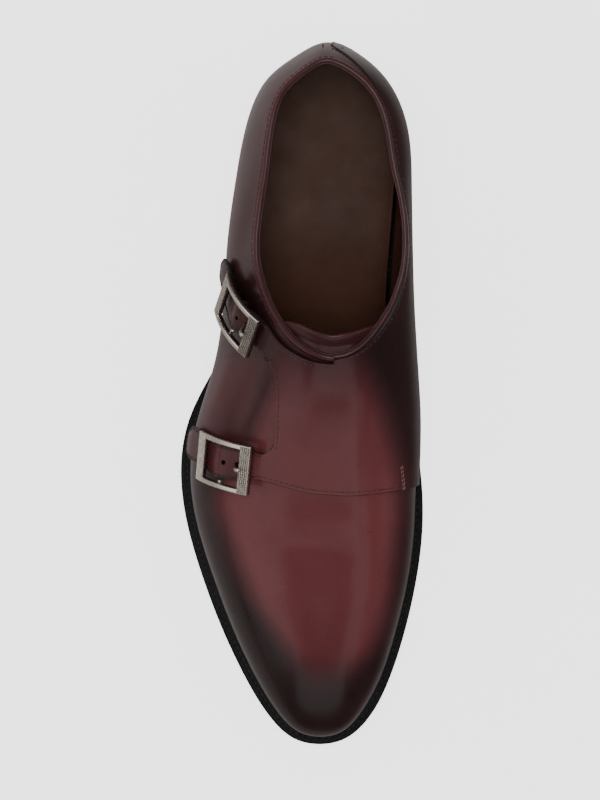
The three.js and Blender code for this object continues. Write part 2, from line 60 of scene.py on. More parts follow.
SIDE_ROWS = (
    (48.3, 0, 24.1), (44.9, -12.5, 34.9), (38.4, -21, 43.4), (30.5, -25.3, 45.3), (21.9, -28.7, 45.5),
    (12.6, -31.1, 45.5), (4.6, -35.4, 46.6), (-3.3, -42.6, 47.7), (-11.3, -45.5, 47.2), (-18.9, -42.3, 46.4),
    (-26.5, -35.5, 43.7), (-33.8, -27.5, 38.7), (-39.7, -19.4, 33.2), (-45, -10, 25.1), (-48, -0.9, 16.6),
)
RIDGE_ROWS = (  # along, across, height
    (-50, 7.8, 45), (-41.4, 8.4, 49.2), (-33.1, 9.5, 53.7), (-24.8, 11.1, 59.4), (-16.6, 12.3, 67.8),
    (-8.3, 13.7, 79.4), (-1.7, 14.8, 89.4), (4.3, 15.5, 99.4), (8.6, 15.3, 108.3), (13.2, 14.7, 117.2),
    (19.9, 14.6, 125.6), (29.8, 14.6, 127.8), (53, 14.6, 128.9),
)
SECTION_ROWS = (  # along, rise, then tuck, side and top for the outer side and for the inner side
    (-49, 7, 1.2, 0.52, 0.6, 1.2, 0.52, 0.6),
    (-36.4, 9, 1.2, 0.5, 0.58, 1.2, 0.54, 0.58),
    (-23.2, 11, 1.3, 0.48, 0.54, 1.6, 0.56, 0.56),
    (-11.6, 13, 1.8, 0.42, 0.48, 2.6, 0.6, 0.56),
    (0, 15, 3.5, 0.32, 0.42, 6, 0.6, 0.56),
    (10, 17, 5.2, 0.22, 0.36, 8.6, 0.62, 0.62),
    (19.9, 19, 5.5, 0.2, 0.35, 7.5, 0.9, 0.9),
    (31.5, 19, 4.2, 0.18, 0.38, 4.6, 0.45, 0.72),
    (41.4, 18, 3.3, 0.3, 0.45, 3.3, 0.45, 0.65),
    (50, 18, 3, 0.45, 0.6, 3, 0.45, 0.6),
)
TOPLINE_ROWS = (  # along, outer height, inner height
    (0, 107, 107), (4.3, 102.5, 102.5), (7.3, 97.8, 100), (12.6, 92.2, 97.2), (19.9, 88.9, 95.6),
    (31.8, 93.3, 98.3), (41.4, 97.8, 101.7), (46.7, 103.3, 103.3),
)

# The strap flap: its front edge and its topline over the ridge as (u, y), and its free edge as (y, u)
FLAP_FRONT = (
    (-0.282, -34.2), (-0.18, -36.9), (-0.09, -39.3), (0, -40.4), (0.145, -40.8), (0.335, -39.8),
    (0.5, -38.9), (0.7, -38), (0.94, -37), (1, -36.8),
)
FLAP_TOPLINE = ((-0.333, 29), (-0.287, 24.2), (-0.213, 19.4), (-0.11, 15.3), (0, 14.2))
FLAP_FREE = (
    (-23.8, -0.267), (-22.4, -0.24), (-20.3, -0.225), (-11.4, -0.232), (-2.5, -0.245), (5.3, -0.262),
    (10.6, -0.282), (15.8, -0.325), (20, -0.372),
)
FLAP_HEIGHT, REAR_HEIGHT, FLAP_THICK = 1.6, 0.45, 1.3
# Each strap from its root to its cut tip: front y, front u, rear y, rear u and height of its face
STRAPS = {
    "lower": (
        (-34.2, -0.282, -23.8, -0.267, 1.6), (-34, -0.32, -22.4, -0.31, 3.0),
        (-33.7, -0.372, -21, -0.365, 4.7), (-33, -0.423, -19.8, -0.42, 6.6),
        (-31.8, -0.475, -18.2, -0.475, 5.2), (-28.4, -0.58, -14.8, -0.59, 3.2),
        (-26.6, -0.67, -12.4, -0.69, 2.9), (-23.2, -0.755, -15, -0.765, 2.6),
    ),
    "upper": (
        (20, -0.372, 29, -0.333, 1.6), (23.4, -0.41, 33.4, -0.372, 3.0), (26.8, -0.455, 37.4, -0.42, 4.7),
        (29.9, -0.497, 40.6, -0.463, 6.6), (33.6, -0.543, 44.2, -0.51, 5.2), (41.6, -0.64, 52, -0.595, 3.2),
        (51.6, -0.738, 57, -0.635, 2.9), (56.6, -0.738, 59, -0.685, 2.6),
    ),
}
SPARE_HOLE, PRONG_HOLE = 2.75, 1.75  # how far down a strap, in rows of its table

# Buckles, by their outer side, their middle and their inner side as (y, u), and their height
BUCKLES = {
    "lower": ((-23.6, -0.555), (-26.9, -0.423), (-30.3, -0.291), 6.3),
    "upper": ((43.0, -0.572), (34.8, -0.478), (26.6, -0.383), 6.6),
}
BUCKLE_ALONG, BUCKLE_ACROSS, SIDE_BAR, END_BAR, BUCKLE_THICK, BUCKLE_BEND = 29.5, 21.3, 4.4, 2.1, 2.4, 43
OUTER_BAR = 5.2  # the side bar away from the ridge
FRAME_SHIFT = {"lower": 0.9, "upper": -0.6}  # of the frame along its strap, from its bar
BAR_HEIGHT = 2.6

TONGUE_TOP = (  # u, y of the free top
    (-0.26, 30.5), (-0.2, 29), (-0.12, 26), (-0.05, 24.4), (0, 24), (0.07, 24.6), (0.15, 25.6), (0.24, 27.4),
    (0.32, 29),
)


def spline(stations, values):
    """A natural cubic curve through values at rising stations."""
    x = np.asarray(stations, float)
    y = np.asarray(values, float)
    n = len(x)
    h = np.diff(x)
    a = np.eye(n)
    b = np.zeros(n)
    for i in range(1, n - 1):
        a[i, i - 1:i + 2] = h[i - 1], 2 * (h[i - 1] + h[i]), h[i]
        b[i] = 6 * ((y[i + 1] - y[i]) / h[i] - (y[i] - y[i - 1]) / h[i - 1])
    bend = np.linalg.solve(a, b)

    def at(v):
        v = np.asarray(v, float)
        i = np.clip(np.searchsorted(x, v) - 1, 0, n - 2)
        p = (v - x[i]) / h[i]
        q = 1 - p
        return q * y[i] + p * y[i + 1] + ((q**3 - q) * bend[i] + (p**3 - p) * bend[i + 1]) * h[i]**2 / 6
    return at


def curves(rows):
    """One curve for each column of rows, over the first column."""
    columns = np.array(rows, float).T
    return [spline(columns[0], column) for column in columns[1:]]


def outline(rows, ends, count=1600):
    """A closed outline through the rows' two sides and the two ends."""
    heel, toe = ends
    around = [heel, *[(l, y) for y, l, m in rows], toe, *[(m, y) for y, l, m in rows[::-1]]]
    points = np.array(around) * (BALL_WIDTH / 100, LENGTH / 100)
    overlap = 4
    wrapped = np.vstack([points[-overlap:], points, points[:overlap + 1]])
    run = np.concatenate([[0], np.cumsum(np.hypot(*np.diff(wrapped, axis=0).T))])
    s = np.linspace(run[overlap], run[overlap + len(points)], count + 1)[:-1]
    return np.column_stack([spline(run, wrapped[:, 0])(s), spline(run, wrapped[:, 1])(s)])


ridge_across, ridge_height = curves(RIDGE_ROWS)
section = curves(SECTION_ROWS)
topline = curves(TOPLINE_ROWS)
sole_loop = outline(SOLE_ROWS, SOLE_ENDS)
side_loop = outline(SIDE_ROWS, SIDE_ENDS)


def smooth(v, low, high):
    p = np.clip((np.asarray(v, float) - low) / (high - low), 0, 1)
    return p * p * (3 - 2 * p)


def underside(y):
    toe = np.clip((TREAD_FRONT - y) / (TREAD_FRONT + LENGTH / 2), 0, None)
    return smooth(y, TREAD_BACK, BREAST) * HEEL + SPRING * toe**2


def welt_top(y):
    return underside(y) + SOLE + GAP + WELT


def ray(t):
    """Where ray t starts on the ridge, and its direction on the inner side."""
    t = np.asarray(t, float)
    turn = np.clip((np.abs(t) - FAN_SHARE) / (1 - FAN_SHARE), 0, 1)
    start = -np.sign(t) * FAN_START
    pole = np.where(t > 0, TOE_POLE, HEEL_POLE)
    y = np.where(turn > 0, start + (pole - start) * (1 - (1 - turn)**2), -FAN_START * t / FAN_SHARE)
    angle = np.sign(t) * math.pi / 2 * turn**FAN_BEND
    return ridge_across(y * 100 / LENGTH) * BALL_WIDTH / 100, y, np.cos(angle), -np.sin(angle)


FINE = np.linspace(-1, 1, 2001)


def reach(loop, side):
    """How far an outline is from the ridge along each fine ray."""
    x, y, dx, dy = (v[:, None] for v in ray(FINE))
    dx = dx * side
    ends = np.roll(loop, -1, axis=0)
    ex, ey = (ends - loop).T
    ax, ay = loop[:, 0] - x, loop[:, 1] - y
    cross = dx * ey - dy * ex
    far = (ax * ey - ay * ex) / cross
    share = (ax * dy - ay * dx) / cross
    return np.where((share >= 0) & (share <= 1) & (far > 0), far, np.inf).min(axis=1)


SIDE_REACH = {side: reach(side_loop, side) for side in (-1, 1)}
SOLE_REACH = {side: reach(sole_loop, side) for side in (-1, 1)}


def out_to(table, t, u):
    return np.where(u < 0, np.interp(t, FINE, table[-1]), np.interp(t, FINE, table[1]))


def bezier(p, a, b, c, d):
    q = 1 - p
    return q**3 * a + 3 * q * q * p * b + 3 * q * p * p * c + p**3 * d


def tuck(t, u):
    """How far the feather line lies inside the widest line."""
    _, y, _, dy = ray(t)
    along = (y + out_to(SIDE_REACH, t, u) * dy) * 100 / LENGTH
    return np.where(u < 0, section[1](along), section[4](along))


def last(t, u):
    """Points of the last."""
    t, u = np.broadcast_arrays(np.clip(t, -1.0, 1.0), np.clip(u, -1.0, 1.0))
    x0, y0, dx, dy = ray(t)
    side = np.where(u < 0, -1, 1)
    share = 1 - np.abs(u)
    widest = out_to(SIDE_REACH, t, u)
    along = (y0 + widest * dy) * 100 / LENGTH
    full = np.where(u < 0, section[2](along), section[5](along))
    top = np.where(u < 0, section[3](along), section[6](along))
    low = np.clip(share / WIDEST_SHARE, 0, 1)
    up = np.clip((share - WIDEST_SHARE) / (1 - WIDEST_SHARE), 0, 1)
    out = np.where(up > 0, bezier(up, widest, widest, widest * top, 0), widest - tuck(t, u) * (1 - low)**3)
    y = y0 + out * dy
    base = welt_top(y) + GAP + section[0](along) * low
    height = ridge_height(y * 100 / LENGTH) * INSTEP / 100
    z = base + (height - base) * bezier(up, 0, full, 1, 1)
    return np.stack([x0 + out * dx * side, y, z], -1)


def run_of(points):
    """The distance run at each point of a path."""
    return np.concatenate([[0], np.cumsum(np.linalg.norm(np.diff(points, axis=0), axis=1))])


def unit(v):
    return v / np.maximum(np.linalg.norm(v, axis=-1, keepdims=True), 1e-9)


def outward(t, u):
    """Normals of the last. Rays meet at the two poles, where places near the ridge borrow from beside it."""
    step = 2e-3
    t, u = np.broadcast_arrays(t, u)
    beside = np.clip((np.abs(t) - 0.8) / 0.2, 0, 1) * 0.06
    u = np.where(np.abs(u) < beside, np.where(u < 0, -beside, beside), u)
    along = last(t + step, u) - last(t - step, u)
    over = last(t, u + step) - last(t, u - step)
    return unit(np.cross(along, over))


def place_of(y):
    """The ray that starts on the ridge at y."""
    y = np.asarray(y, float)
    pole = np.where(y > 0, HEEL_POLE, TOE_POLE)
    start = np.sign(y) * FAN_START
    turn = 1 - np.sqrt(np.clip(1 - (y - start) / (pole - start), 0, None))
    fan = -np.sign(y) * (FAN_SHARE + turn * (1 - FAN_SHARE))
    return np.where(np.abs(y) <= FAN_START, -y * FAN_SHARE / FAN_START, fan)


# Soft hollows and swellings, each placed one by one: middle (y, u), half sizes along and across, turn, height
GIRTH = 105  # millimetres across for one unit of u
DENTS = (
    (-66, -0.06, 5, 34, 0.10, -0.45),
    (-82, 0.10, 6, 26, -0.12, -0.30),
    (-52, 0.12, 6, 30, 0.05, 0.35),
    (-4, -0.42, 17, 6, 0.25, -0.75),
    (6, -0.58, 20, 7, 0.1, 0.55),
    (72, -0.5, 20, 9, 0.5, -0.8),
    (60, 0.45, 26, 9, -0.3, -0.6),
    (-16, 0.28, 16, 8, 0.3, -0.5),
    (2, 0.05, 7, 22, 0.0, -0.45),
    (-112, 0.05, 9, 15, 0.2, -0.3),
)


def relief(t, u):
    """Height of the dents at a place."""
    y = ray(t)[1]
    total = np.zeros(np.broadcast(y, u).shape)
    for y0, u0, half_along, half_across, turn, height in DENTS:
        a, b = y - y0, (u - u0) * GIRTH
        c, s = math.cos(turn), math.sin(turn)
        total += height * np.exp(-((a * c + b * s) / half_along)**2 - ((b * c - a * s) / half_across)**2)
    return total


def on_last(t, u, height=0.0):
    t, u, height = np.broadcast_arrays(t, u, height)
    return last(t, u) + outward(t, u) * (height + relief(t, u))[..., None]


def topline_share(t, side):
    """The share of each ray at which the upper ends: 1 where it goes on over the ridge."""
    share = np.linspace(0.3, 1, 900)
    p = last(np.asarray(t)[:, None], side * (1 - share)[None] - (1e-9 if side < 0 else 0))
    along = np.clip(p[..., 1] * 100 / LENGTH, 0, TOPLINE_ROWS[-1][0])
    over = p[..., 2] - topline[0 if side < 0 else 1](along) * INSTEP / 100
    first = np.where((over > 0).any(1), (over > 0).argmax(1), len(share) - 1)
    i = np.arange(len(first))
    before = np.clip(first - 1, 0, None)
    gain = over[i, first] - over[i, before]
    p = np.where(gain > 0, -over[i, before] / np.where(gain > 0, gain, 1), 1)
    end = share[before] + (share[first] - share[before]) * np.clip(p, 0, 1)
    return np.where(first == len(share) - 1, 1.0, end)


END = {side: topline_share(FINE, side) for side in (-1, 1)}
THROAT = FINE[np.argmax((END[-1] >= 1) & (END[1] >= 1))]


def end_share(t, side):
    return np.interp(t, FINE, END[side])


PAINTED_LIGHT_BANDS = curves((  # y, outer and inner edge of the painted light on the burgundy, and how bright the painted light is
    (-160, 8, 14, 0), (-128, 6, 18, 0), (-119, 2, 24, 0.35), (-111, -2, 29, 0.75), (-100, -10, 34, 0.92),
    (-84, -20, 38, 1), (-60, -29, 41, 1), (-41, -33, 42, 1), (-25, -24, 40, 0.95), (-8, -16, 36, 0.82),
    (6, -12, 32, 0.6), (18, -11, 28, 0.36), (40, -12, 28, 0.22), (160, -12, 28, 0.2),
))


def painted_light_and_patina(t, u):
    """Painted light on the burgundy: 1 in the middle of the vamp where the overhead light falls, 0 where
    painted shade darkens the flanks and the toe, with a painted lit patch on the outer quarter and a faint
    painted sheen round the rear, stronger on the outer side.
    """
    p = last(t, u)
    x, y = p[..., 0], p[..., 1]
    outer, inner, level = (np.clip(curve(y), -60, 60) for curve in PAINTED_LIGHT_BANDS)
    middle = np.clip(level, 0, 1) * smooth(x, outer - 9, outer + 7) * (1 - smooth(x, inner - 7, inner + 8))
    # a painted lit patch on the outer quarter between the straps
    quarter = 0.46 * smooth(y, -40, -20) * (1 - smooth(y, 8, 40))
    quarter = quarter * smooth(u, -0.85, -0.6) * (1 - smooth(u, -0.4, -0.25))
    # a faint painted sheen round the rear, stronger on the outer side
    rear = 0.2 * smooth(y, 20, 60) * (1 - smooth(y, 100, 146))
    rear = rear * np.where(u < 0, 1, 0.35) * smooth(1 - np.abs(u), 0.05, 0.35)
    return np.clip(np.maximum(middle, quarter) + rear, 0, 1)


# Making meshes

def linked(name, data):
    """A new object in the scene."""
    made = bpy.data.objects.new(name, data)
    bpy.context.collection.objects.link(made)
    return made


def quads(rows, columns, shown=None, wrap=False, flip=False):
    """Cells of a grid of points, numbered row by row."""
    cells = []
    for i in range(rows - 1):
        for j in range(columns if wrap else columns - 1):
            k = (j + 1) % columns
            cell = [i * columns + j, i * columns + k, (i + 1) * columns + k, (i + 1) * columns + j]
            if shown is None or all(shown[v] for v in cell):
                cells.append(cell[::-1] if flip else cell)
    return cells


def capped(rows, columns):
    """The cells of a closed tube of rings."""
    return quads(rows, columns, wrap=True) + [
        list(range(columns))[::-1], [(rows - 1) * columns + j for j in range(columns)]]


def closed(cells, count):
    """The cells of two skins, the second count points further on, joined round their edge."""
    both = [list(c) for c in cells] + [[v + count for v in c[::-1]] for c in cells]
    edges = {(c[i], c[(i + 1) % len(c)]) for c in cells for i in range(len(c))}
    return both + [[b, a, a + count, b + count] for a, b in sorted(edges) if (b, a) not in edges]


def piece(name, points, cells, finish, nodes=(), slot="upper_leather", shine=None, edge=None, thick=None,
          bevel=None):
    """A mesh piece riding on the shoe, with its finish and the CAD nodes that it stands for."""
    mesh = bpy.data.meshes.new(name)
    mesh.from_pydata((np.asarray(points, float) * MM).tolist(), [], [list(map(int, c)) for c in cells])
    if shine is not None:
        # painted light per point, which the finishes read; on the buckles it also marks the blackened grooves
        values = mesh.attributes.new("painted_light_and_patina", "FLOAT", "POINT").data
        values.foreach_set("value", np.asarray(shine, np.float32))
    work = bmesh.new()
    work.from_mesh(mesh)
    bmesh.ops.remove_doubles(work, verts=work.verts, dist=1e-5)
    bmesh.ops.delete(work, geom=[v for v in work.verts if not v.link_faces], context="VERTS")
    for face in work.faces:
        face.smooth = True
    work.to_mesh(mesh)
    work.free()
    made = linked(name, mesh)
    mesh.materials.append(finish)
    if thick:
        mesh.materials.append(edge or finish)
        wall = made.modifiers.new("wall", "SOLIDIFY")
        wall.thickness = thick * MM
        wall.offset = -1
        wall.use_even_offset = False
        wall.material_offset_rim = 1
    if bevel:
        soft = made.modifiers.new("soft_edge", "BEVEL")
        soft.width = bevel * MM
        soft.segments = 3
        soft.limit_method = "ANGLE"
        soft.angle_limit = math.radians(50)
        soft.use_clamp_overlap = True
        # The bevel takes the dark edge finish: the inked edge, and a painted shadow line round the piece's
        # rim
        soft.material = 1 if thick else -1
    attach(made, "root")
    if nodes:
        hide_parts(*nodes)
    return made


def sweep(name, path, normals, profile, finish, closed_path=False):
    """A profile of (out of the edge, off the surface) points carried along a path."""
    if closed_path:
        tangent = unit(np.roll(path, -1, axis=0) - np.roll(path, 1, axis=0))
    else:
        tangent = unit(np.gradient(path, axis=0))
    across = unit(np.cross(tangent, normals))
    points = np.stack([path + across * b + normals * n for b, n in profile], axis=1)
    rows, columns = points.shape[:2]
    if closed_path:
        points = np.concatenate([points, points[:1]])
        rows += 1
    cells = quads(rows, columns, wrap=True) if closed_path else capped(rows, columns)
    solid(name, points.reshape(-1, 3), cells, finish)


def solid(*about, **more):
    """A closed piece, its faces turned outwards."""
    made = piece(*about, **more)
    work = bmesh.new()
    work.from_mesh(made.data)
    bmesh.ops.recalc_face_normals(work, faces=work.faces)
    work.to_mesh(made.data)
    work.free()


def circle(radius, sides=8, lift=0.0, drop=0.0):
    angles = [2 * math.pi * i / sides for i in range(sides)]
    return [(drop + radius * math.cos(a), lift + radius * math.sin(a)) for a in angles]


def trace(places, height, step=1.0):
    """An evenly stepped path over the last through (t, u) places, with its normals."""
    places = np.asarray(places, float)
    rough = run_of(last(*places.T))
    fine = np.linspace(0, rough[-1], max(8, int(rough[-1] / step) * 3))
    if len(places) > 3:
        t, u = spline(rough, places[:, 0])(fine), spline(rough, places[:, 1])(fine)
    else:
        t, u = np.interp(fine, rough, places[:, 0]), np.interp(fine, rough, places[:, 1])
    h = height(t, u) if callable(height) else np.full(len(t), float(height))
    return even(on_last(t, u, h), outward(t, u), step)


def even(points, normals, step):
    """Points and normals at even steps along a path."""
    run = run_of(points)
    at = np.linspace(0, run[-1], max(2, int(round(run[-1] / step)) + 1))
    def take(v):
        return np.stack([np.interp(at, run, v[:, k]) for k in range(3)], -1)
    return take(points), unit(take(normals))


def stitches(name, runs, finish, pitch=2.4, length=1.8, radius=0.24, slot="upper_leather"):
    """Sewn stitches, half sunk, along runs of (points, normals)."""
    rings = ((-0.5, 0.3), (-0.38, 0.85), (0, 1), (0.38, 0.85), (0.5, 0.3))  # along, share of the radius
    sides = 6
    tube = capped(len(rings), sides)
    points, cells = [], []
    for path, normals in runs:
        centres, normals = even(path, normals, pitch)
        tangent = unit(np.gradient(centres, axis=0))
        across = unit(np.cross(tangent, normals))
        for c, n, d, a in zip(centres, normals, tangent, across):
            start = len(points)
            for x, r in rings:
                middle = c + d * x * length - n * (0.5 * abs(x) * radius)
                points += [middle + r * (a * over + n * up) for over, up in circle(radius, sides)]
            cells += [[start + v for v in cell] for cell in tube]
    solid(name, points, cells, finish, slot=slot)


# Finishes

def material(name, **sockets):
    made = bpy.data.materials.new(name)
    made.use_nodes = True
    shader = made.node_tree.nodes["Principled BSDF"]
    for key, value in sockets.items():
        shader.inputs[key.replace("_", " ")].default_value = value
    return made, made.node_tree, shader


def node(tree, kind, **values):
    made = tree.nodes.new("ShaderNode" + kind)
    for key, value in values.items():
        if hasattr(made, key):
            setattr(made, key, value)
        else:
            made.inputs[key.replace("_", " ")].default_value = value
    return made


def noise(tree, scale, detail=3.0, roughness=0.5, stretch=(1, 1, 1)):
    """Noise in the shoe's own metres."""
    place = node(tree, "TexCoord")
    turn = node(tree, "Mapping")
    turn.inputs["Scale"].default_value = stretch
    made = node(tree, "TexNoise", Scale=scale, Detail=detail, Roughness=roughness)
    tree.links.new(place.outputs["Object"], turn.inputs["Vector"])
    tree.links.new(turn.outputs["Vector"], made.inputs["Vector"])
    return made.outputs["Fac"]


def calc(tree, operation, *values, clamp=False):
    made = node(tree, "Math", operation=operation, use_clamp=clamp)
    for socket, value in zip(made.inputs, values):
        if isinstance(value, (int, float)):
            socket.default_value = value
        else:
            tree.links.new(value, socket)
    return made.outputs[0]


def ramp(tree, source, stops):
    made = node(tree, "ValToRGB")
    elements = made.color_ramp.elements
    while len(elements) < len(stops):
        elements.new(0.5)
    for element, (place, colour) in zip(elements, stops):
        element.position = place
        element.color = (*colour, 1)
    tree.links.new(source, made.inputs["Fac"])
    return made.outputs["Color"]


def paint(tree, shader, source, stops):
    tree.links.new(ramp(tree, source, stops), shader.inputs["Base Color"])


def bump(tree, shader, height, distance):
    made = node(tree, "Bump", Strength=1.0, Distance=distance * MM)
    tree.links.new(height, made.inputs["Height"])
    tree.links.new(made.outputs["Normal"], shader.inputs["Normal"])


def wear(tree, shader, source, span, middle):
    """Roughness that strays around its middle by half its span."""
    tree.links.new(calc(tree, "MULTIPLY_ADD", source, span, middle - span / 2), shader.inputs["Roughness"])


# The calf's burgundy, from painted shade at 0 to painted light at 1
BURGUNDY = (
    (0.0, (0.014, 0.0055, 0.0055)), (0.3, (0.038, 0.010, 0.011)), (0.6, (0.074, 0.016, 0.019)),
    (1.0, (0.136, 0.032, 0.035)),
)
POLISH = {"Coat_Weight": 0.5, "Coat_Roughness": 0.18, "Coat_IOR": 1.32, "Specular_IOR_Level": 0.2}


def upper_leather(name, level=None):
    """Polished calf. Its colour follows the painted light and shade of each place, or one fixed level of it,
    mottled by hand rubbing.
    """
    made, tree, shader = material(name, **POLISH)
    if level is None:
        base = node(tree, "Attribute", attribute_name="painted_light_and_patina").outputs["Fac"]
    else:
        base = calc(tree, "MULTIPLY_ADD", noise(tree, 24, 1), 0.1, level - 0.05)
    cloud = calc(tree, "SUBTRACT", noise(tree, 20, 3, 0.6), 0.5)
    fine = calc(tree, "SUBTRACT", noise(tree, 210, 3, 0.6, (1, 0.5, 1)), 0.5)
    mottle = calc(tree, "ADD", calc(tree, "MULTIPLY", cloud, 0.4), calc(tree, "MULTIPLY", fine, 0.14))
    shade = calc(tree, "ADD", base, mottle, clamp=True)
    paint(tree, shader, shade, BURGUNDY)
    wear(tree, shader, noise(tree, 60, 3), 0.14, 0.3)
    pores = node(tree, "TexVoronoi", Scale=1500.0)
    place = node(tree, "TexCoord")
    tree.links.new(place.outputs["Object"], pores.inputs["Vector"])
    skin = calc(tree, "ADD", pores.outputs["Distance"], calc(tree, "MULTIPLY", noise(tree, 420, 3), 0.8))
    bump(tree, shader, skin, 0.02)
    return made


def plain_leather(name, dark, light, scale=70, rough=0.5, fine=900, level=0.5, ends=(0.3, 0.7)):
    """Leather, rubber or thread coloured by noise alone."""
    made, tree, shader = material(name, Specular_IOR_Level=level)
    paint(tree, shader, noise(tree, scale, 5, 0.6), list(zip(ends, (dark, light))))
    wear(tree, shader, noise(tree, scale * 3, 3), 0.2, rough)
    bump(tree, shader, noise(tree, fine, 4, 0.6), 0.05)
    return made


def metal(name, colours):
    """Antique nickel, mottled darker and lighter and finely scratched."""
    made, tree, shader = material(name, Metallic=1.0)
    paint(tree, shader, noise(tree, 300, 5, 0.65), ((0.3, colours[0]), (0.7, colours[1])))
    wear(tree, shader, noise(tree, 1400, 3, 0.6, (1, 6, 1)), 0.22, 0.28)
    bump(tree, shader, noise(tree, 2600, 3, 0.6, (1, 8, 1)), 0.02)
    return made


def engraved_metal(name, groove, colours):
    """Antique nickel blackened in its engraving, which its point attribute marks, and painted darker on the
    frame's underside and sides as painted shade.
    """
    made, tree, shader = material(name, Metallic=1.0)
    shade = calc(tree, "SUBTRACT", noise(tree, 500, 4, 0.65), 0.5)
    depth = node(tree, "Attribute", attribute_name="painted_light_and_patina").outputs["Fac"]
    level = calc(tree, "ADD", depth, calc(tree, "MULTIPLY", shade, 0.12), clamp=True)
    paint(tree, shader, level, ((0.0, groove), (0.45, colours[0]), (0.8, colours[1])))
    wear(tree, shader, noise(tree, 1400, 3), 0.2, 0.27)
    return made


# calf is painted with light and shade point by point; trim_calf and rolled_calf are the same calf painted at
# one fixed level of that light each, trim_calf darker for the keepers, rolled_calf lighter for the collar
# roll, the tongue and the back seam
calf = upper_leather("calf")
trim_calf = upper_leather("trim_calf", level=0.26)
rolled_calf = upper_leather("rolled_calf", level=0.42)
# cut_edge is the dark-inked cut edge; on bevels and beads it also paints the shadow line along the edges
cut_edge = plain_leather("cut_edge", (0.006, 0.004, 0.004), (0.016, 0.008, 0.008), rough=0.4)
lining_leather = plain_leather(
    "lining_leather", (0.045, 0.017, 0.012), (0.080, 0.029, 0.021), rough=0.55, level=0.25)
sock_leather = plain_leather(
    "sock_leather", (0.070, 0.027, 0.015), (0.112, 0.046, 0.027), scale=40, level=0.2, ends=(0.25, 0.75))
piping_leather = plain_leather("piping_leather", (0.030, 0.008, 0.009), (0.062, 0.014, 0.016), rough=0.45)
welt_leather = plain_leather("welt_leather", (0.003, 0.003, 0.003), (0.009, 0.008, 0.008), level=0.2)
sole_leather = plain_leather("sole_leather", (0.006, 0.005, 0.005), (0.015, 0.013, 0.012), level=0.3)
lift_rubber = plain_leather("lift_rubber", (0.010,) * 3, (0.022,) * 3, rough=0.75, fine=2200)
THREAD = {"scale": 600, "rough": 0.6, "fine": 3000}
thread = plain_leather("thread", (0.035, 0.010, 0.011), (0.085, 0.022, 0.024), **THREAD)
dark_thread = plain_leather("dark_thread", (0.008, 0.007, 0.007), (0.028, 0.024, 0.022), **THREAD)
pale_thread = plain_leather("pale_thread", (0.16, 0.07, 0.06), (0.30, 0.14, 0.12), **THREAD)
nickel = metal("nickel", ((0.34, 0.30, 0.25), (0.66, 0.60, 0.53)))
engraved_nickel = engraved_metal(
    "engraved_nickel", (0.07, 0.058, 0.048), ((0.40, 0.35, 0.29), (0.72, 0.65, 0.57)))


# The camera, straight above and a little to the inner side, turned onto the one shoe
CAMERA_PLACE = Vector((57.1, -8.9, 1430)) * MM
CAMERA_AIM = Vector((0.5, -1, 45)) * MM
LENS, SENSOR = 145.75, 36
data = bpy.data.cameras.new("camera")
data.sensor_width = SENSOR
data.lens = LENS
data.clip_start = 0.05
data.clip_end = 20
camera = linked("camera", data)
back = (CAMERA_PLACE - CAMERA_AIM).normalized()
up = (Vector((0, 1, 0)) - back * back.y).normalized()
right = up.cross(back)
camera.matrix_world = Matrix.Translation(CAMERA_PLACE) @ Matrix((right, up, back)).transposed().to_4x4()
bpy.context.scene.camera = camera


# The upper: a hollow shell in two leathers

def even_places(count):
    x, y, dx, dy = ray(FINE)
    far = SIDE_REACH[-1]
    run = run_of(np.column_stack([x - far * dx, y + far * dy]))
    return np.interp(np.linspace(0, run[-1], count + 1), run, FINE)


def round_shoe(count):
    """Ray places and sides all round the shoe, from the heel by the outer side."""
    places = even_places(count)
    t = np.concatenate([places, places[::-1][1:-1]])
    side = np.concatenate([np.full(len(places), -1), np.full(len(places) - 2, 1)])
    return t, side


def shell(rows, count):
    """Places (t, u) of the upper, a row at a time from the feather line to the topline or the ridge."""
    t, side = round_shoe(count)
    end = np.where(side < 0, end_share(t, -1), end_share(t, 1))
    share = np.linspace(0, 1, rows)[:, None] * end[None]
    u = side[None] * (1 - share)
    u = np.where((u == 0) & (side[None] < 0), -0.0, u)
    return np.broadcast_to(t, u.shape), u


ROWS, COLUMNS = 44, 190
t, u = shell(ROWS, COLUMNS)
cells = quads(*u.shape, wrap=True)
# The shell's colour carries painted light and shade from point to point
piece("upper_shell", on_last(t, u).reshape(-1, 3), cells, calf, ["upper"],
      shine=painted_light_and_patina(t, u).ravel(), thick=1.0)
inside = on_last(t, u, -WALL).reshape(-1, 3)
piece("lining", inside, [c[::-1] for c in cells], lining_leather, thick=1.0)


# The rolled topline with its piping
def topline_loop(count):
    """Places round the collar: from the throat back along the outer side and forward along the inner."""
    s = np.linspace(0, 1, count)**1.5
    back_t = THROAT + (-1 - THROAT) * s
    outer = -(1 - end_share(back_t, -1))
    inner = 1 - end_share(back_t, 1)
    outer[0] = inner[0] = 0
    return np.concatenate([back_t, back_t[::-1][1:-1]]), np.concatenate([outer, inner[::-1][1:-1]])


t, u = topline_loop(150)
path, normals = on_last(t, u), outward(t, u)
ROLL = ((-1.6, 0.04), (-0.6, 0.14), (0, 0.1), (0.5, -0.12), (0.85, -0.55), (0.98, -1.1), (0.85, -1.65),
        (0.5, -2.08), (0, -2.3), (-1.6, -2.24))
sweep("collar_roll", path, normals, ROLL, rolled_calf, closed_path=True)
sweep("collar_piping", path, normals, circle(0.33, 8, -1.95, 0.78), piping_leather, closed_path=True)


# The strap flap and the inner quarter, one leather
MEDIAL_ROWS, LATERAL_ROWS, STRAP_ROWS = 40, 18, 44
STRAP_COLUMNS, FREE_COLUMNS, REAR_COLUMNS = 13, 26, 90
STRAP_END = len(STRAPS["lower"]) - 1
DOG_TAIL = (0.7, 0.14)  # share of the height where the seam leaves the back, and where it meets the collar


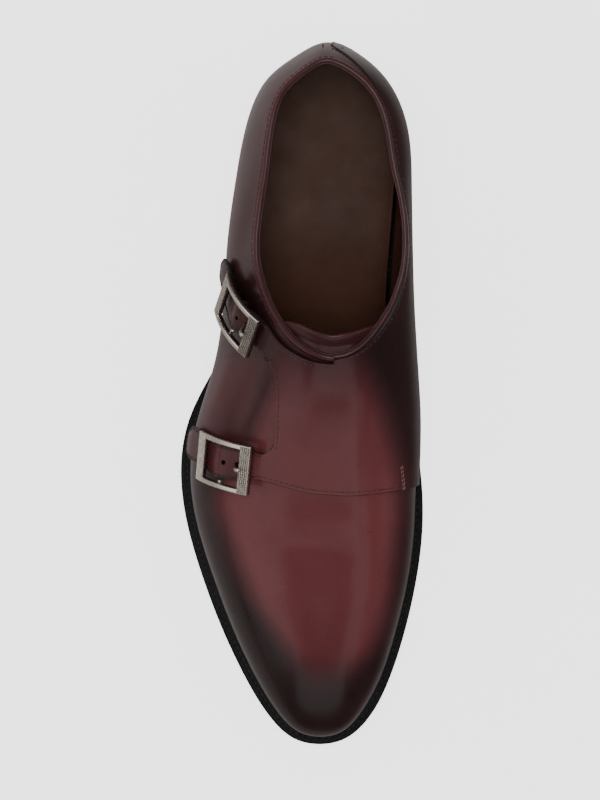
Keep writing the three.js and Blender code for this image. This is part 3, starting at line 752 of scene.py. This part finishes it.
def flap_height(t):
    return REAR_HEIGHT + (FLAP_HEIGHT - REAR_HEIGHT) * (1 - smooth(ray(t)[1], 22, 80))


def along_rows(rows, v):
    """A strap's columns at v rows down: smooth along its length, straight to its crown."""
    table = np.array(rows, float)
    v = np.asarray(v, float)
    full = len(table) - 2
    out = []
    for column in table.T:
        body = spline(np.arange(full + 1), column[:full + 1])(np.minimum(v, full))
        out.append(np.where(v > full, column[full] + (column[full + 1] - column[full]) * (v - full), body))
    return out


def strap_place(rows, v, q):
    """(t, u, height) on a strap, v rows from its root and q across it from its front edge."""
    front_y, front_u, rear_y, rear_u, height = along_rows(rows, v)
    y = front_y + (rear_y - front_y) * q
    pillow = 0.25 * smooth(v, 0, 1) * (1 - (2 * q - 1)**2)
    return place_of(y), front_u + (rear_u - front_u) * q, height + pillow


def free_edge(count):
    y, u = np.array(FLAP_FREE).T
    run = run_of(np.column_stack([y, u * GIRTH]))
    at = np.linspace(0, run[-1], count)
    return np.interp(at, run, y), np.interp(at, run, u)


q = np.linspace(0, 1, STRAP_COLUMNS)
free_y, free_u = free_edge(FREE_COLUMNS)
roots = {name: [rows[0][0] + (rows[0][2] - rows[0][0]) * q, rows[0][1] + (rows[0][3] - rows[0][1]) * q]
         for name, rows in STRAPS.items()}
edge_y = np.concatenate([roots["lower"][0], free_y[1:-1], roots["upper"][0]])
edge_u = np.concatenate([roots["lower"][1], free_u[1:-1], roots["upper"][1]])
flap_front = spline(*np.array(FLAP_FRONT).T)
flap_rear = spline(*np.array(FLAP_TOPLINE).T)
FRONT_COLUMNS = len(edge_y)
across = (edge_y - edge_y[0]) / (edge_y[-1] - edge_y[0])
ridge_y = flap_front(0) + (flap_rear(0) - flap_front(0)) * across
rows_total = MEDIAL_ROWS + LATERAL_ROWS + STRAP_ROWS + 1
columns_total = FRONT_COLUMNS + REAR_COLUMNS
place = np.full((rows_total, columns_total, 3), np.nan)
frac = np.linspace(0, 1, MEDIAL_ROWS + 1)
for i, f in enumerate(frac):
    front = flap_front(1 - f)
    y = front + (ridge_y[-1] - front) * across
    place[i, :FRONT_COLUMNS, 0], place[i, :FRONT_COLUMNS, 1] = place_of(y), 1 - f
    start = place_of(ridge_y[-1])
    lift = np.clip((f - DOG_TAIL[0]) / (1 - DOG_TAIL[0]), 0, 1)
    stop = -1 + DOG_TAIL[1] * lift**2
    s = (np.arange(1, REAR_COLUMNS + 1) / REAR_COLUMNS)**1.35
    t = start + (stop - start) * s
    place[i, FRONT_COLUMNS:, 0], place[i, FRONT_COLUMNS:, 1] = t, 1 - f * np.minimum(end_share(t, 1), 1)
for i in range(1, LATERAL_ROWS + 1):
    p = i / LATERAL_ROWS
    front, rear = (flap_front(edge_u[0] * p), edge_u[0] * p), (flap_rear(edge_u[-1] * p), edge_u[-1] * p)
    plane = []
    for k, edge in ((0, edge_y), (1, edge_u)):
        ridge_line = ridge_y if k == 0 else np.zeros(FRONT_COLUMNS)
        between = (1 - p) * ridge_line + p * edge
        ends = (1 - across) * between[0] + across * between[-1]
        plane.append(between + (1 - across) * front[k] + across * rear[k] - ends)
    place[MEDIAL_ROWS + i, :FRONT_COLUMNS, 0] = place_of(plane[0])
    place[MEDIAL_ROWS + i, :FRONT_COLUMNS, 1] = plane[1]
known = ~np.isnan(place[..., 0])
place[..., 2] = np.where(known, flap_height(np.nan_to_num(place[..., 0])), np.nan)
v = np.linspace(0, STRAP_END, STRAP_ROWS + 1)[1:]
FIRST_COLUMN = {"lower": 0, "upper": FRONT_COLUMNS - STRAP_COLUMNS}
for name, first in FIRST_COLUMN.items():
    t, u, h = strap_place(STRAPS[name], v[:, None], q[None])
    place[MEDIAL_ROWS + LATERAL_ROWS + 1:, first:first + STRAP_COLUMNS] = np.stack([t, u, h], -1)


def punch(grid, cells, first, row, column, radius, row_size, column_size, half=2):
    """Cuts a round hole in a grid: cells near it give way to a ring between their edge and a circle of
    new points, which are numbered from first."""
    columns = grid.shape[1]
    i0, j0 = int(round(row)) - half, int(round(column)) - half
    n = 2 * half
    block = {(i0 + a) * columns + j0 + b for a in range(n) for b in range(n)}
    kept = [c for c in cells if min(c) not in block or max(c) >= grid.shape[0] * columns]
    border = [(i0, j0 + b) for b in range(n)] + [(i0 + a, j0 + n) for a in range(n)]
    border += [(i0 + n, j0 + n - b) for b in range(n)] + [(i0 + n - a, j0) for a in range(n)]
    centre = np.array([i0 + half, j0 + half])
    added = []
    for k, corner in enumerate(border):
        away = (np.array(corner) - centre) * (row_size, column_size)
        spot = centre + away / np.linalg.norm(away) * radius / (row_size, column_size)
        a, b = int(spot[0]), int(spot[1])
        fa, fb = spot[0] - a, spot[1] - b
        near = (1 - fb) * grid[a, b] + fb * grid[a, b + 1]
        far = (1 - fb) * grid[a + 1, b] + fb * grid[a + 1, b + 1]
        added.append((1 - fa) * near + fa * far)
        m = (k + 1) % len(border)
        corners = [border[i][0] * columns + border[i][1] for i in (k, m)]
        kept.append([*corners, first + m, first + k])
    return added, kept


flat = place.reshape(-1, 3)
cells = quads(rows_total, columns_total, ~np.isnan(flat[:, 0]))
added = []
for name, first in FIRST_COLUMN.items():
    for v_hole, radius in ((SPARE_HOLE, 1.0), (PRONG_HOLE, 1.2)):
        row = MEDIAL_ROWS + LATERAL_ROWS + v_hole * STRAP_ROWS / STRAP_END
        column = first + (STRAP_COLUMNS - 1) / 2
        ring, cells = punch(place, cells, len(flat) + len(added), row, column, radius, 0.95, 1.15)
        added += ring
STRAP_PAINTED_LIGHT = {"lower": (-0.31, 0.62), "upper": (-0.37, 0.34)}  # u at which a strap's painted light begins, and how bright it is
flat = np.vstack([flat, added])
t, u, h = np.nan_to_num(flat).T
shine = painted_light_and_patina(t, u)
# Painted light on each strap: its own level, darker towards its tip, taking over from the flap's painted
# light past its root
for name, first in FIRST_COLUMN.items():
    start, level = STRAP_PAINTED_LIGHT[name]
    held = smooth(u, start - 0.05, start)
    own = level * (1 - 0.45 * smooth(-u, 0.5, 0.62))
    on_strap = (h > FLAP_HEIGHT + 0.05) & ((t > 0) == (name == "lower"))
    shine = np.where(on_strap, shine * held + own * (1 - held), shine)
piece("strap_flap", on_last(t, u, h), cells, calf, ["strap_flap"], shine=shine,
      edge=cut_edge, thick=FLAP_THICK, bevel=0.4)

# Sewing on the upper
def on_flap(t, u):
    return flap_height(t) + 0.02


u = np.linspace(-0.27, 0.5, 40)
front_run = trace(np.column_stack([place_of(flap_front(u) + 1.3), u]), on_flap)
free_y, free_u = free_edge(60)
free_run = trace(np.column_stack([place_of(free_y), free_u + 0.0125])[6:], on_flap)
u = np.linspace(-0.325, -0.01, 30)
over_t, over_u = place_of(flap_rear(u) - 1.5), u
t = np.linspace(place_of(11.5), -0.83, 120)
side_u = 1 - np.minimum(end_share(t + 0.01, 1), end_share(t, 1)) + 0.016
inner_t = np.concatenate([over_t, t[t < place_of(15.5)]])
inner_u = np.concatenate([over_u, side_u[t < place_of(15.5)]])
topline_run = trace(np.column_stack([inner_t, inner_u])[::2], on_flap)
t = np.linspace(place_of(27.0), -1, 110)
outer_run = trace(np.column_stack([t, -(1 - end_share(t, -1)) - 0.018]), 0.02)
strap_runs = []
SEAM, SEAM_END = 0.085, 6.82  # of a strap: share of its width from the edge, and rows down it
for name, rows in STRAPS.items():
    v = np.concatenate([np.linspace(0.3, 6, 40), np.linspace(6.1, SEAM_END, 6)])
    for v, q in ((v, SEAM), (v, 1 - SEAM), (SEAM_END, np.linspace(SEAM, 1 - SEAM, 8))):
        t, u, h = strap_place(rows, *np.broadcast_arrays(v, q))
        strap_runs.append((on_last(t, u, h + 0.02), outward(t, u)))
stitches("flap_stitching", [front_run, free_run, topline_run], thread)
stitches("quarter_stitching", [outer_run], thread)
stitches("strap_stitching", strap_runs, dark_thread, 2.1, 1.85, 0.27)
# Dark beads along the flap's front and free edges: the inked edge, and painted shadow where the flap steps
# down onto the vamp
u = np.linspace(-0.27, 0.5, 90)
edge_runs = {
    "flap_front_edge": (np.column_stack([place_of(flap_front(u) - 0.15), u]), 0.8),
    "flap_free_edge": (np.column_stack([place_of(free_y), free_u - 0.003])[4:], 0.42),
}
for name, (places, height) in edge_runs.items():
    path, normals = trace(places, height)
    sweep(name, path, normals, circle(0.38), cut_edge)
# Dark beads round each strap's edge, sunk near its root: the inked edge, and painted shadow under the strap's
# rim
for name, rows in STRAPS.items():
    down = np.linspace(0.3, 6.93, 60)
    over = np.linspace(0.03, 0.97, 12)
    v = np.concatenate([down, np.full(10, down[-1]), down[::-1]])
    q = np.concatenate([np.full(60, over[0]), over[1:-1], np.full(60, over[-1])])
    t, u, h = strap_place(rows, v, q)
    h = h - 0.1 - 0.9 * (1 - smooth(v, 0.3, 0.8))
    sweep(f"strap_{name}_edge", on_last(t, u, h), outward(t, u), circle(0.27), cut_edge)

tack = []
for shift in (0, 1.6):
    y, u = np.array([-38.6, -34, -29.7]) + 0.3 * shift, np.array([0.5, 0.485, 0.47]) + shift * 0.009
    tack.append(trace(np.column_stack([place_of(y), u]), on_flap))
stitches("bar_tack", tack, pale_thread, 1.9, 1.5, 0.28)

# The dog-tail seam at the heel, its back seam and their tack
f = np.linspace(DOG_TAIL[0], 0.985, 24)
tail_t = -1 + DOG_TAIL[1] * ((f - DOG_TAIL[0]) / (1 - DOG_TAIL[0]))**2
tail_u = 1 - f * end_share(tail_t, 1)
tail = trace(np.column_stack([tail_t - 0.012, tail_u]), 0.05)
stitches("tail_stitching", [tail], dark_thread, 2.0, 1.5, 0.26)
f = np.linspace(0.02, DOG_TAIL[0], 12)
back_seam = trace(np.column_stack([np.full(12, -1.0), 1 - f * end_share(-1.0, 1)]), 0.1, 2.0)
folds = [(-0.9, 0), (-0.6, 0.3), (-0.12, 0.32), (0, 0.1), (0.12, 0.32), (0.6, 0.3), (0.9, 0)]
sweep("back_seam", *back_seam, folds, rolled_calf)
tack = []
for k in range(4):
    f = DOG_TAIL[0] + 0.012 * (k - 1.5)
    u = 1 - f * end_share(-0.98, 1)
    tack.append(trace([(-0.985, -u), (-1.0, -u), (-1.0, u), (-0.985, u)], 0.35, 0.6))
stitches("heel_tack", tack, dark_thread, 1.6, 1.5, 0.3)

# The tongue
u = np.linspace(-0.29, 0.34, 48)
tongue_top = spline(*np.array(TONGUE_TOP).T)(u)
share = np.linspace(0, 1, 26)[:, None]
y = -8 + (tongue_top[None] + 8) * share
TONGUE_DEPTH = WALL + 1.8
dip = -TONGUE_DEPTH - 0.5 * np.exp(-((y - tongue_top + 4.6) / 1.2)**2)
t, u = place_of(y), np.broadcast_to(u, y.shape)
points = (last(t, u) + outward(t, u) * dip[..., None]).reshape(-1, 3)
piece("tongue_leather", points, quads(*y.shape, flip=True), rolled_calf, ["tongue"], thick=2.0, bevel=0.7)
u = np.linspace(-0.27, 0.31, 40)
y = spline(*np.array(TONGUE_TOP).T)(u) - 3.4
t = place_of(y)
stitches("tongue_stitching", [(last(t, u) - outward(t, u) * TONGUE_DEPTH, outward(t, u))], thread)


# The welt, the sole and the sock go round the shoe ray by ray
def ring(count):
    t, side = round_shoe(count)
    x, y, dx, dy = ray(t)
    u = np.where(side < 0, -1.0, 1.0)
    return t, u, np.column_stack([x, y]), np.column_stack([dx * side, dy]), out_to(SOLE_REACH, t, u)


def feather_reach(t, u):
    return out_to(SIDE_REACH, t, u) - tuck(t, u)


def turned(rows, height):
    """Rows of distances out from the ridge as points, each at its height above the floor at y."""
    t, u, start, way, _ = ring(SOLE_COLUMNS)
    points = []
    for out, rise in zip(rows, height):
        plan = start + way * np.broadcast_to(out, len(t))[:, None]
        points.append(np.column_stack([plan, rise(plan[:, 1])]))
    return np.array(points)


def closed_ring(name, points, finish, slot, nodes, loop=True):
    rows, columns = points.shape[:2]
    if loop:
        points = np.concatenate([points, points[:1]])
    solid(name, points.reshape(-1, 3), quads(len(points), columns, wrap=True), finish, nodes, slot)


SOLE_COLUMNS = 190
WELT_EDGE = (  # inset from the edge, depth below the welt's top
    (0.35, 2.9), (0, 2.55), (0, 0.4), (0.12, 0.12), (0.35, 0), (0.75, 0), (0.95, 0.3), (1.15, 0), (1.55, 0),
    (1.75, 0.3), (1.95, 0), (2.35, 0), (2.6, 0.22), (2.95, 0.22), (3.2, 0),
)
t, u, start, way, far = ring(SOLE_COLUMNS)
inner = feather_reach(t, u) - WALL
outs = [far - inset for inset, depth in WELT_EDGE] + [inner, inner]
rises = [lambda y, d=depth: welt_top(y) - d for inset, depth in WELT_EDGE]
rises += [welt_top, lambda y: welt_top(y) - WELT]
closed_ring("welt_strip", turned(outs, rises), welt_leather, "sole_leather", ["welt"])
WELT_SEAM = 2.78  # inset of the stitches
plan = start + way * (far - WELT_SEAM)[:, None]
path = np.column_stack([plan, welt_top(plan[:, 1]) - 0.2])
path = np.vstack([path, path[:1]])
upright = np.tile([0.0, 0.0, 1.0], (len(path), 1))
stitches("welt_stitching", [(path, upright)], dark_thread, 2.9, 2.3, 0.3, slot="sole_leather")

SOLE_EDGE = (  # inset from the edge, height above the underside; a stitch channel runs under the sole
    (9, 0), (6.4, 0), (5.9, 0.45), (5.4, 0), (1.4, 0), (0.6, 0.12), (0.15, 0.5), (0, 1.2), (0, 4.7),
    (0.15, 5.2), (0.5, 5.5),
)
middle = (0, 0.25, 0.5, 0.7)
outs = [far * m for m in middle] + [far - inset for inset, rise in SOLE_EDGE]
outs += [far * m for m in middle[::-1]]
rises = [underside] * len(middle) + [lambda y, r=rise: underside(y) + r for inset, rise in SOLE_EDGE]
rises += [lambda y: underside(y) + SOLE] * len(middle)
closed_ring("sole", turned(outs, rises), sole_leather, "sole_leather", ["outsole"], loop=False)

inner = feather_reach(t, u) - WALL - 0.5
shares = (0, 0.25, 0.5, 0.7, 0.84, 0.92, 0.97, 1)
outs = [inner * m for m in shares] + [inner * m for m in (1, 0.5, 0)]
rises = [lambda y, m=m: welt_top(y) + GAP + SOCK + 1.6 * m**8 - 0.5 * (1 - m * m) for m in shares]
rises += [lambda y: underside(y) + SOLE + GAP] * 3
closed_ring("sock", turned(outs, rises), sock_leather, "sock_leather", ["insole"], loop=False)


# The stacked heel
def heel_outline(count=150):
    front = sole_loop[:, 1] > BREAST + GAP
    cut = int(np.argmin(front))
    rim = np.vstack([sole_loop[cut:][front[cut:]], sole_loop[:cut]])
    rim = rim[np.linspace(0, len(rim) - 1, count).astype(int)]
    p = np.linspace(0, 1, 25)[1:-1, None]
    bow = rim[-1] + (rim[0] - rim[-1]) * p + np.hstack([0 * p, 20 * p * (1 - p)])
    return np.vstack([rim, bow])


def heel_block(name, levels, finish, slot, nodes):
    """A block of the heel through levels of (height, inset)."""
    loop = heel_outline()
    centre = np.array([float(ridge_across(HEEL_POLE * 100 / LENGTH)) * BALL_WIDTH / 100, HEEL_POLE])
    rows = []
    for z, inset in levels:
        shrink = 1 - 0.06 * (HEEL - z) / HEEL - inset / 38
        rows.append(np.column_stack([centre + (loop - centre) * shrink, np.full(len(loop), z)]))
    solid(name, np.vstack(rows), capped(len(rows), len(loop)), finish, nodes, slot)


stack = []
lifts = np.linspace(TOP_LIFT + 0.2, HEEL, 5)
for low, high in zip(lifts, lifts[1:]):
    stack += [(low, 0.3), (low + 0.18, 0.02), (high - 0.18, 0.02), (high, 0.3)]
heel_block("heel_lifts", stack, sole_leather, "sole_leather", ["heel_stack"])
cap = [(0.15, 0.9), (0.5, 0.3), (1.0, 0.05), (5.6, 0.05), (5.95, 0.35), (6.1, 0.6)]
heel_block("heel_cap", cap, lift_rubber, "lift_rubber", ["top_lift"])
nails, cells = [], []
loop = heel_outline(40)
centre = np.array([12.5, HEEL_POLE])
for x, y in centre + (loop[3:38:4] - centre) * 0.8:
    k = len(nails)
    for z, radius in ((0.4, 1.1), (0.1, 1.1), (0.0, 0.8)):
        nails += [(x + a, y + b, z) for a, b in circle(radius, 12)]
    cells += [[k + v for v in cell] for cell in capped(3, 12)]
solid("heel_nails", nails, cells, nickel, slot="buckle_metal")


# The buckles
def buckle_axes(outer, middle, inner, height):
    """The buckle's own axes, x along the strap towards the ridge and z off the shoe, and where it stands."""
    at = [last(place_of(y), u) for y, u in (outer, middle, inner)]
    along = unit(at[2] - at[0])
    off = outward(place_of(middle[0]), middle[1])
    off = unit(off - along * off.dot(along))
    return np.array([along, np.cross(off, along), off]), at[1] + off * height


def frame_points(x, y, z, axes, origin):
    x, y, z = np.broadcast_arrays(x, y, z)
    bent = z - BUCKLE_BEND + np.sqrt(BUCKLE_BEND**2 - x**2)
    return np.stack([x, y, bent], -1).reshape(-1, 3) @ axes + origin


def buckle_frame(name, axes, origin, node_name):
    """A bent frame: rounded end bars and wide side bars with engraved wavy ribs."""
    a, b = BUCKLE_ALONG / 2, BUCKLE_ACROSS / 2
    inner_b = b - END_BAR
    inner = np.linspace(-(a - OUTER_BAR), a - SIDE_BAR, 24)
    xs = np.concatenate([np.linspace(-a, inner[0], 49)[:-1], inner, np.linspace(inner[-1], a, 41)[1:]])
    end = np.linspace(inner_b, b, 12)
    ys = np.concatenate([-end[::-1], np.linspace(-inner_b, inner_b, 60)[1:-1], end])
    x, y = np.meshgrid(xs, ys, indexing="ij")
    inner_a = np.where(x < 0, a - OUTER_BAR, a - SIDE_BAR)
    to_outer = np.minimum(a - np.abs(x), b - np.abs(y))
    to_inner = np.maximum(np.abs(x) - inner_a, np.abs(y) - inner_b)
    edge = np.clip(np.minimum(to_outer, to_inner), 0, None)
    r = 0.55
    round_off = r - np.sqrt(np.clip(r * r - (r - np.minimum(edge, r))**2, 0, None))
    on_side = smooth(np.abs(x), inner_a + 0.15, inner_a + 0.5) * smooth(a - np.abs(x), 0.15, 0.5)
    in_length = smooth(b - np.abs(y), 0.15, 0.5)
    wave = (np.abs(x) - inner_a) / 0.88 + 0.14 * np.sin(y * 0.9 + np.sign(x))
    rib = 0.5 * (np.cos(2 * math.pi * wave) + 1)
    ribs = 0.25 * (rib - 1) * on_side * in_length
    bright = 1 - (1 - smooth(rib, 0.02, 0.4)) * on_side * in_length
    top = BUCKLE_THICK - round_off + ribs
    keep = (to_inner >= -1e-6).ravel()
    number = -np.ones(x.size, int)
    number[keep] = np.arange(keep.sum())
    cells = [[number[v] for v in c] for c in quads(len(xs), len(ys), keep, flip=True)
             if to_inner.ravel()[c].max() > 1e-6]
    high = frame_points(x.ravel()[keep], y.ravel()[keep], top.ravel()[keep], axes, origin)
    low = frame_points(x.ravel()[keep], y.ravel()[keep], 0.0 * x.ravel()[keep], axes, origin)
    # The ribs' grooves are the nickel's blackened patina; the low face is painted darker, and the sides blend
    # down to it, as painted shade
    shine = np.concatenate([bright.ravel()[keep], np.full(len(low), 0.35)])
    cells = closed(cells, len(high))
    solid(name, np.vstack([high, low]), cells, engraved_nickel, [node_name], "buckle_metal", shine=shine)


def rod(name, stations, axes, origin, node_name, rings=28, sides=14):
    """A round rod through (x, y, z, radius) stations in a buckle's axes, closed by its small ends."""
    stations = np.array(stations, float)
    run = np.concatenate([[0], np.cumsum(np.linalg.norm(np.diff(stations[:, :3], axis=0), axis=1) + 1e-4)])
    at = np.linspace(0, run[-1], rings)
    x, y, z = (np.interp(at, run, stations[:, k]) for k in range(3))
    radius = np.interp(at, run, stations[:, 3])
    centre = np.stack([x, y, z], -1)
    tangent = unit(np.gradient(centre, axis=0))
    side = unit(np.cross(tangent, [0.0, 0.0, 1.0]) + 1e-6)
    over = np.cross(side, tangent)
    angle = np.linspace(0, 2 * math.pi, sides + 1)[:-1]
    c, s = np.cos(angle)[None, :, None], np.sin(angle)[None, :, None]
    points = centre[:, None] + radius[:, None, None] * (side[:, None] * c + over[:, None] * s)
    points = points.reshape(-1, 3) @ axes + origin
    solid(name, points, capped(rings, sides), nickel, [node_name], "buckle_metal")


TIP = (  # along, across, height and radius of the prong's end
    (4.8, 0, -3.8, 0.7), (6.2, 0, -2.4, 0.8), (8.0, 0, 0.2, 0.85), (9.6, 0, 1.7, 0.95), (10.7, 0, 2.1, 1.05),
    (11.4, 0, 2.0, 0.95), (11.9, 0, 1.85, 0.6), (12.05, 0, 1.8, 0.15),
)
for name, (outer, middle_place, inner_place, height) in BUCKLES.items():
    axes, origin = buckle_axes(outer, middle_place, inner_place, height)
    buckle_frame(f"frame_{name}", axes, origin + axes[0] * FRAME_SHIFT[name], f"buckle_{name}")
    half = BUCKLE_ACROSS / 2 - END_BAR + 0.6
    low = BAR_HEIGHT - height
    pin = [(0, -half, -0.2, 0.7), (0, -half + 0.5, -0.5, 1.0), (0, -half + 2.4, low, 0.9)]
    pin += [(0, -y, z, radius) for _, y, z, radius in pin[::-1]]
    rod(f"pin_{name}", pin, axes, origin, f"bar_{name}")
    rod(f"tip_{name}", np.array(TIP) + (FRAME_SHIFT[name], 0, 0, 0), axes, origin, f"prong_{name}")
    p = np.linspace(0, 1, 14)[None]
    reach_u = 0.16
    u = middle_place[1] + 0.01 - reach_u * p - 0.02
    y = middle_place[0] + (outer[0] - middle_place[0]) * p * reach_u / (middle_place[1] - outer[1])
    y = y + np.linspace(-4.5, 4.5, 8)[:, None]
    t, u = place_of(y), np.broadcast_to(u, y.shape)
    piece(f"keeper_{name}", on_last(t, u, 1.2).reshape(-1, 3), quads(*y.shape), trim_calf, [f"tab_{name}"],
          edge=cut_edge, thick=0.9, bevel=0.2)


# Floor and light
floor_finish, tree, shader = material("floor_finish", Roughness=0.6)
paint(tree, shader, noise(tree, 3, 2), ((0.3, (0.90, 0.90, 0.90)), (0.7, (0.93, 0.93, 0.93))))
shader.inputs["Emission Color"].default_value = (1, 1, 1, 1)
shader.inputs["Emission Strength"].default_value = 2.2
card_finish, tree, shader = material("card_finish", Roughness=0.9)
split = node(tree, "SeparateXYZ")
tree.links.new(node(tree, "TexCoord").outputs["Object"], split.inputs["Vector"])
across = calc(tree, "MULTIPLY", split.outputs["X"], 10.0)
paint(tree, shader, across, ((0.35, (0.55, 0.53, 0.52)), (0.85, (0.03, 0.02, 0.02))))


def ground(name, finish, height):
    mesh = bpy.data.meshes.new(name)
    corners = [(-6, -6, height), (6, -6, height), (6, 6, height), (-6, 6, height)]
    mesh.from_pydata(corners, [], [(0, 1, 2, 3)])
    mesh.materials.append(finish)
    made = linked(name, mesh)
    return made


# The pale floor, and a card just over it that only reflections see, dark on the shoe's inner side
floor = ground("floor", floor_finish, 0.0)
floor.visible_glossy = False
card = ground("card", card_finish, 0.0002)
card.visible_camera = card.visible_diffuse = card.visible_shadow = card.visible_transmission = False


def softbox(name, place, size, power, aim=(0, 0, 0.04)):
    light = bpy.data.lights.new(name, "AREA")
    light.shape = "RECTANGLE"
    light.size, light.size_y = size
    light.energy = power
    made = linked(name, light)
    made.location = place
    away = (Vector(place) - Vector(aim)).normalized()
    level = Vector((0, 1, 0)) if abs(place[0]) > abs(place[1]) else Vector((1, 0, 0))
    level = (level - away * level.dot(away)).normalized()
    made.rotation_euler = Matrix((level, away.cross(level), away)).transposed().to_euler()


softbox("left_box", (-1.55, 0.0, 1.25), (3.0, 1.1), 11)
softbox("right_box", (1.4, 0.0, 1.25), (3.0, 0.8), 6)
softbox("left_wall", (-2.0, 0.0, 0.55), (3.0, 0.6), 3.5)
softbox("right_strip", (1.6, 0.1, 0.25), (1.0, 0.1), 2)
softbox("top_box", (0.0, 0.0, 2.4), (1.2, 1.2), 22)
softbox("front_box", (0.0, -1.9, 1.4), (3.2, 0.8), 9)
softbox("back_box", (0.0, 1.9, 1.4), (3.2, 0.8), 13)
world = bpy.data.worlds.new("studio")
bpy.context.scene.world = world
world.use_nodes = True
sky = world.node_tree.nodes["Background"].inputs
sky["Color"].default_value, sky["Strength"].default_value = (1, 1, 1, 1), 0.06
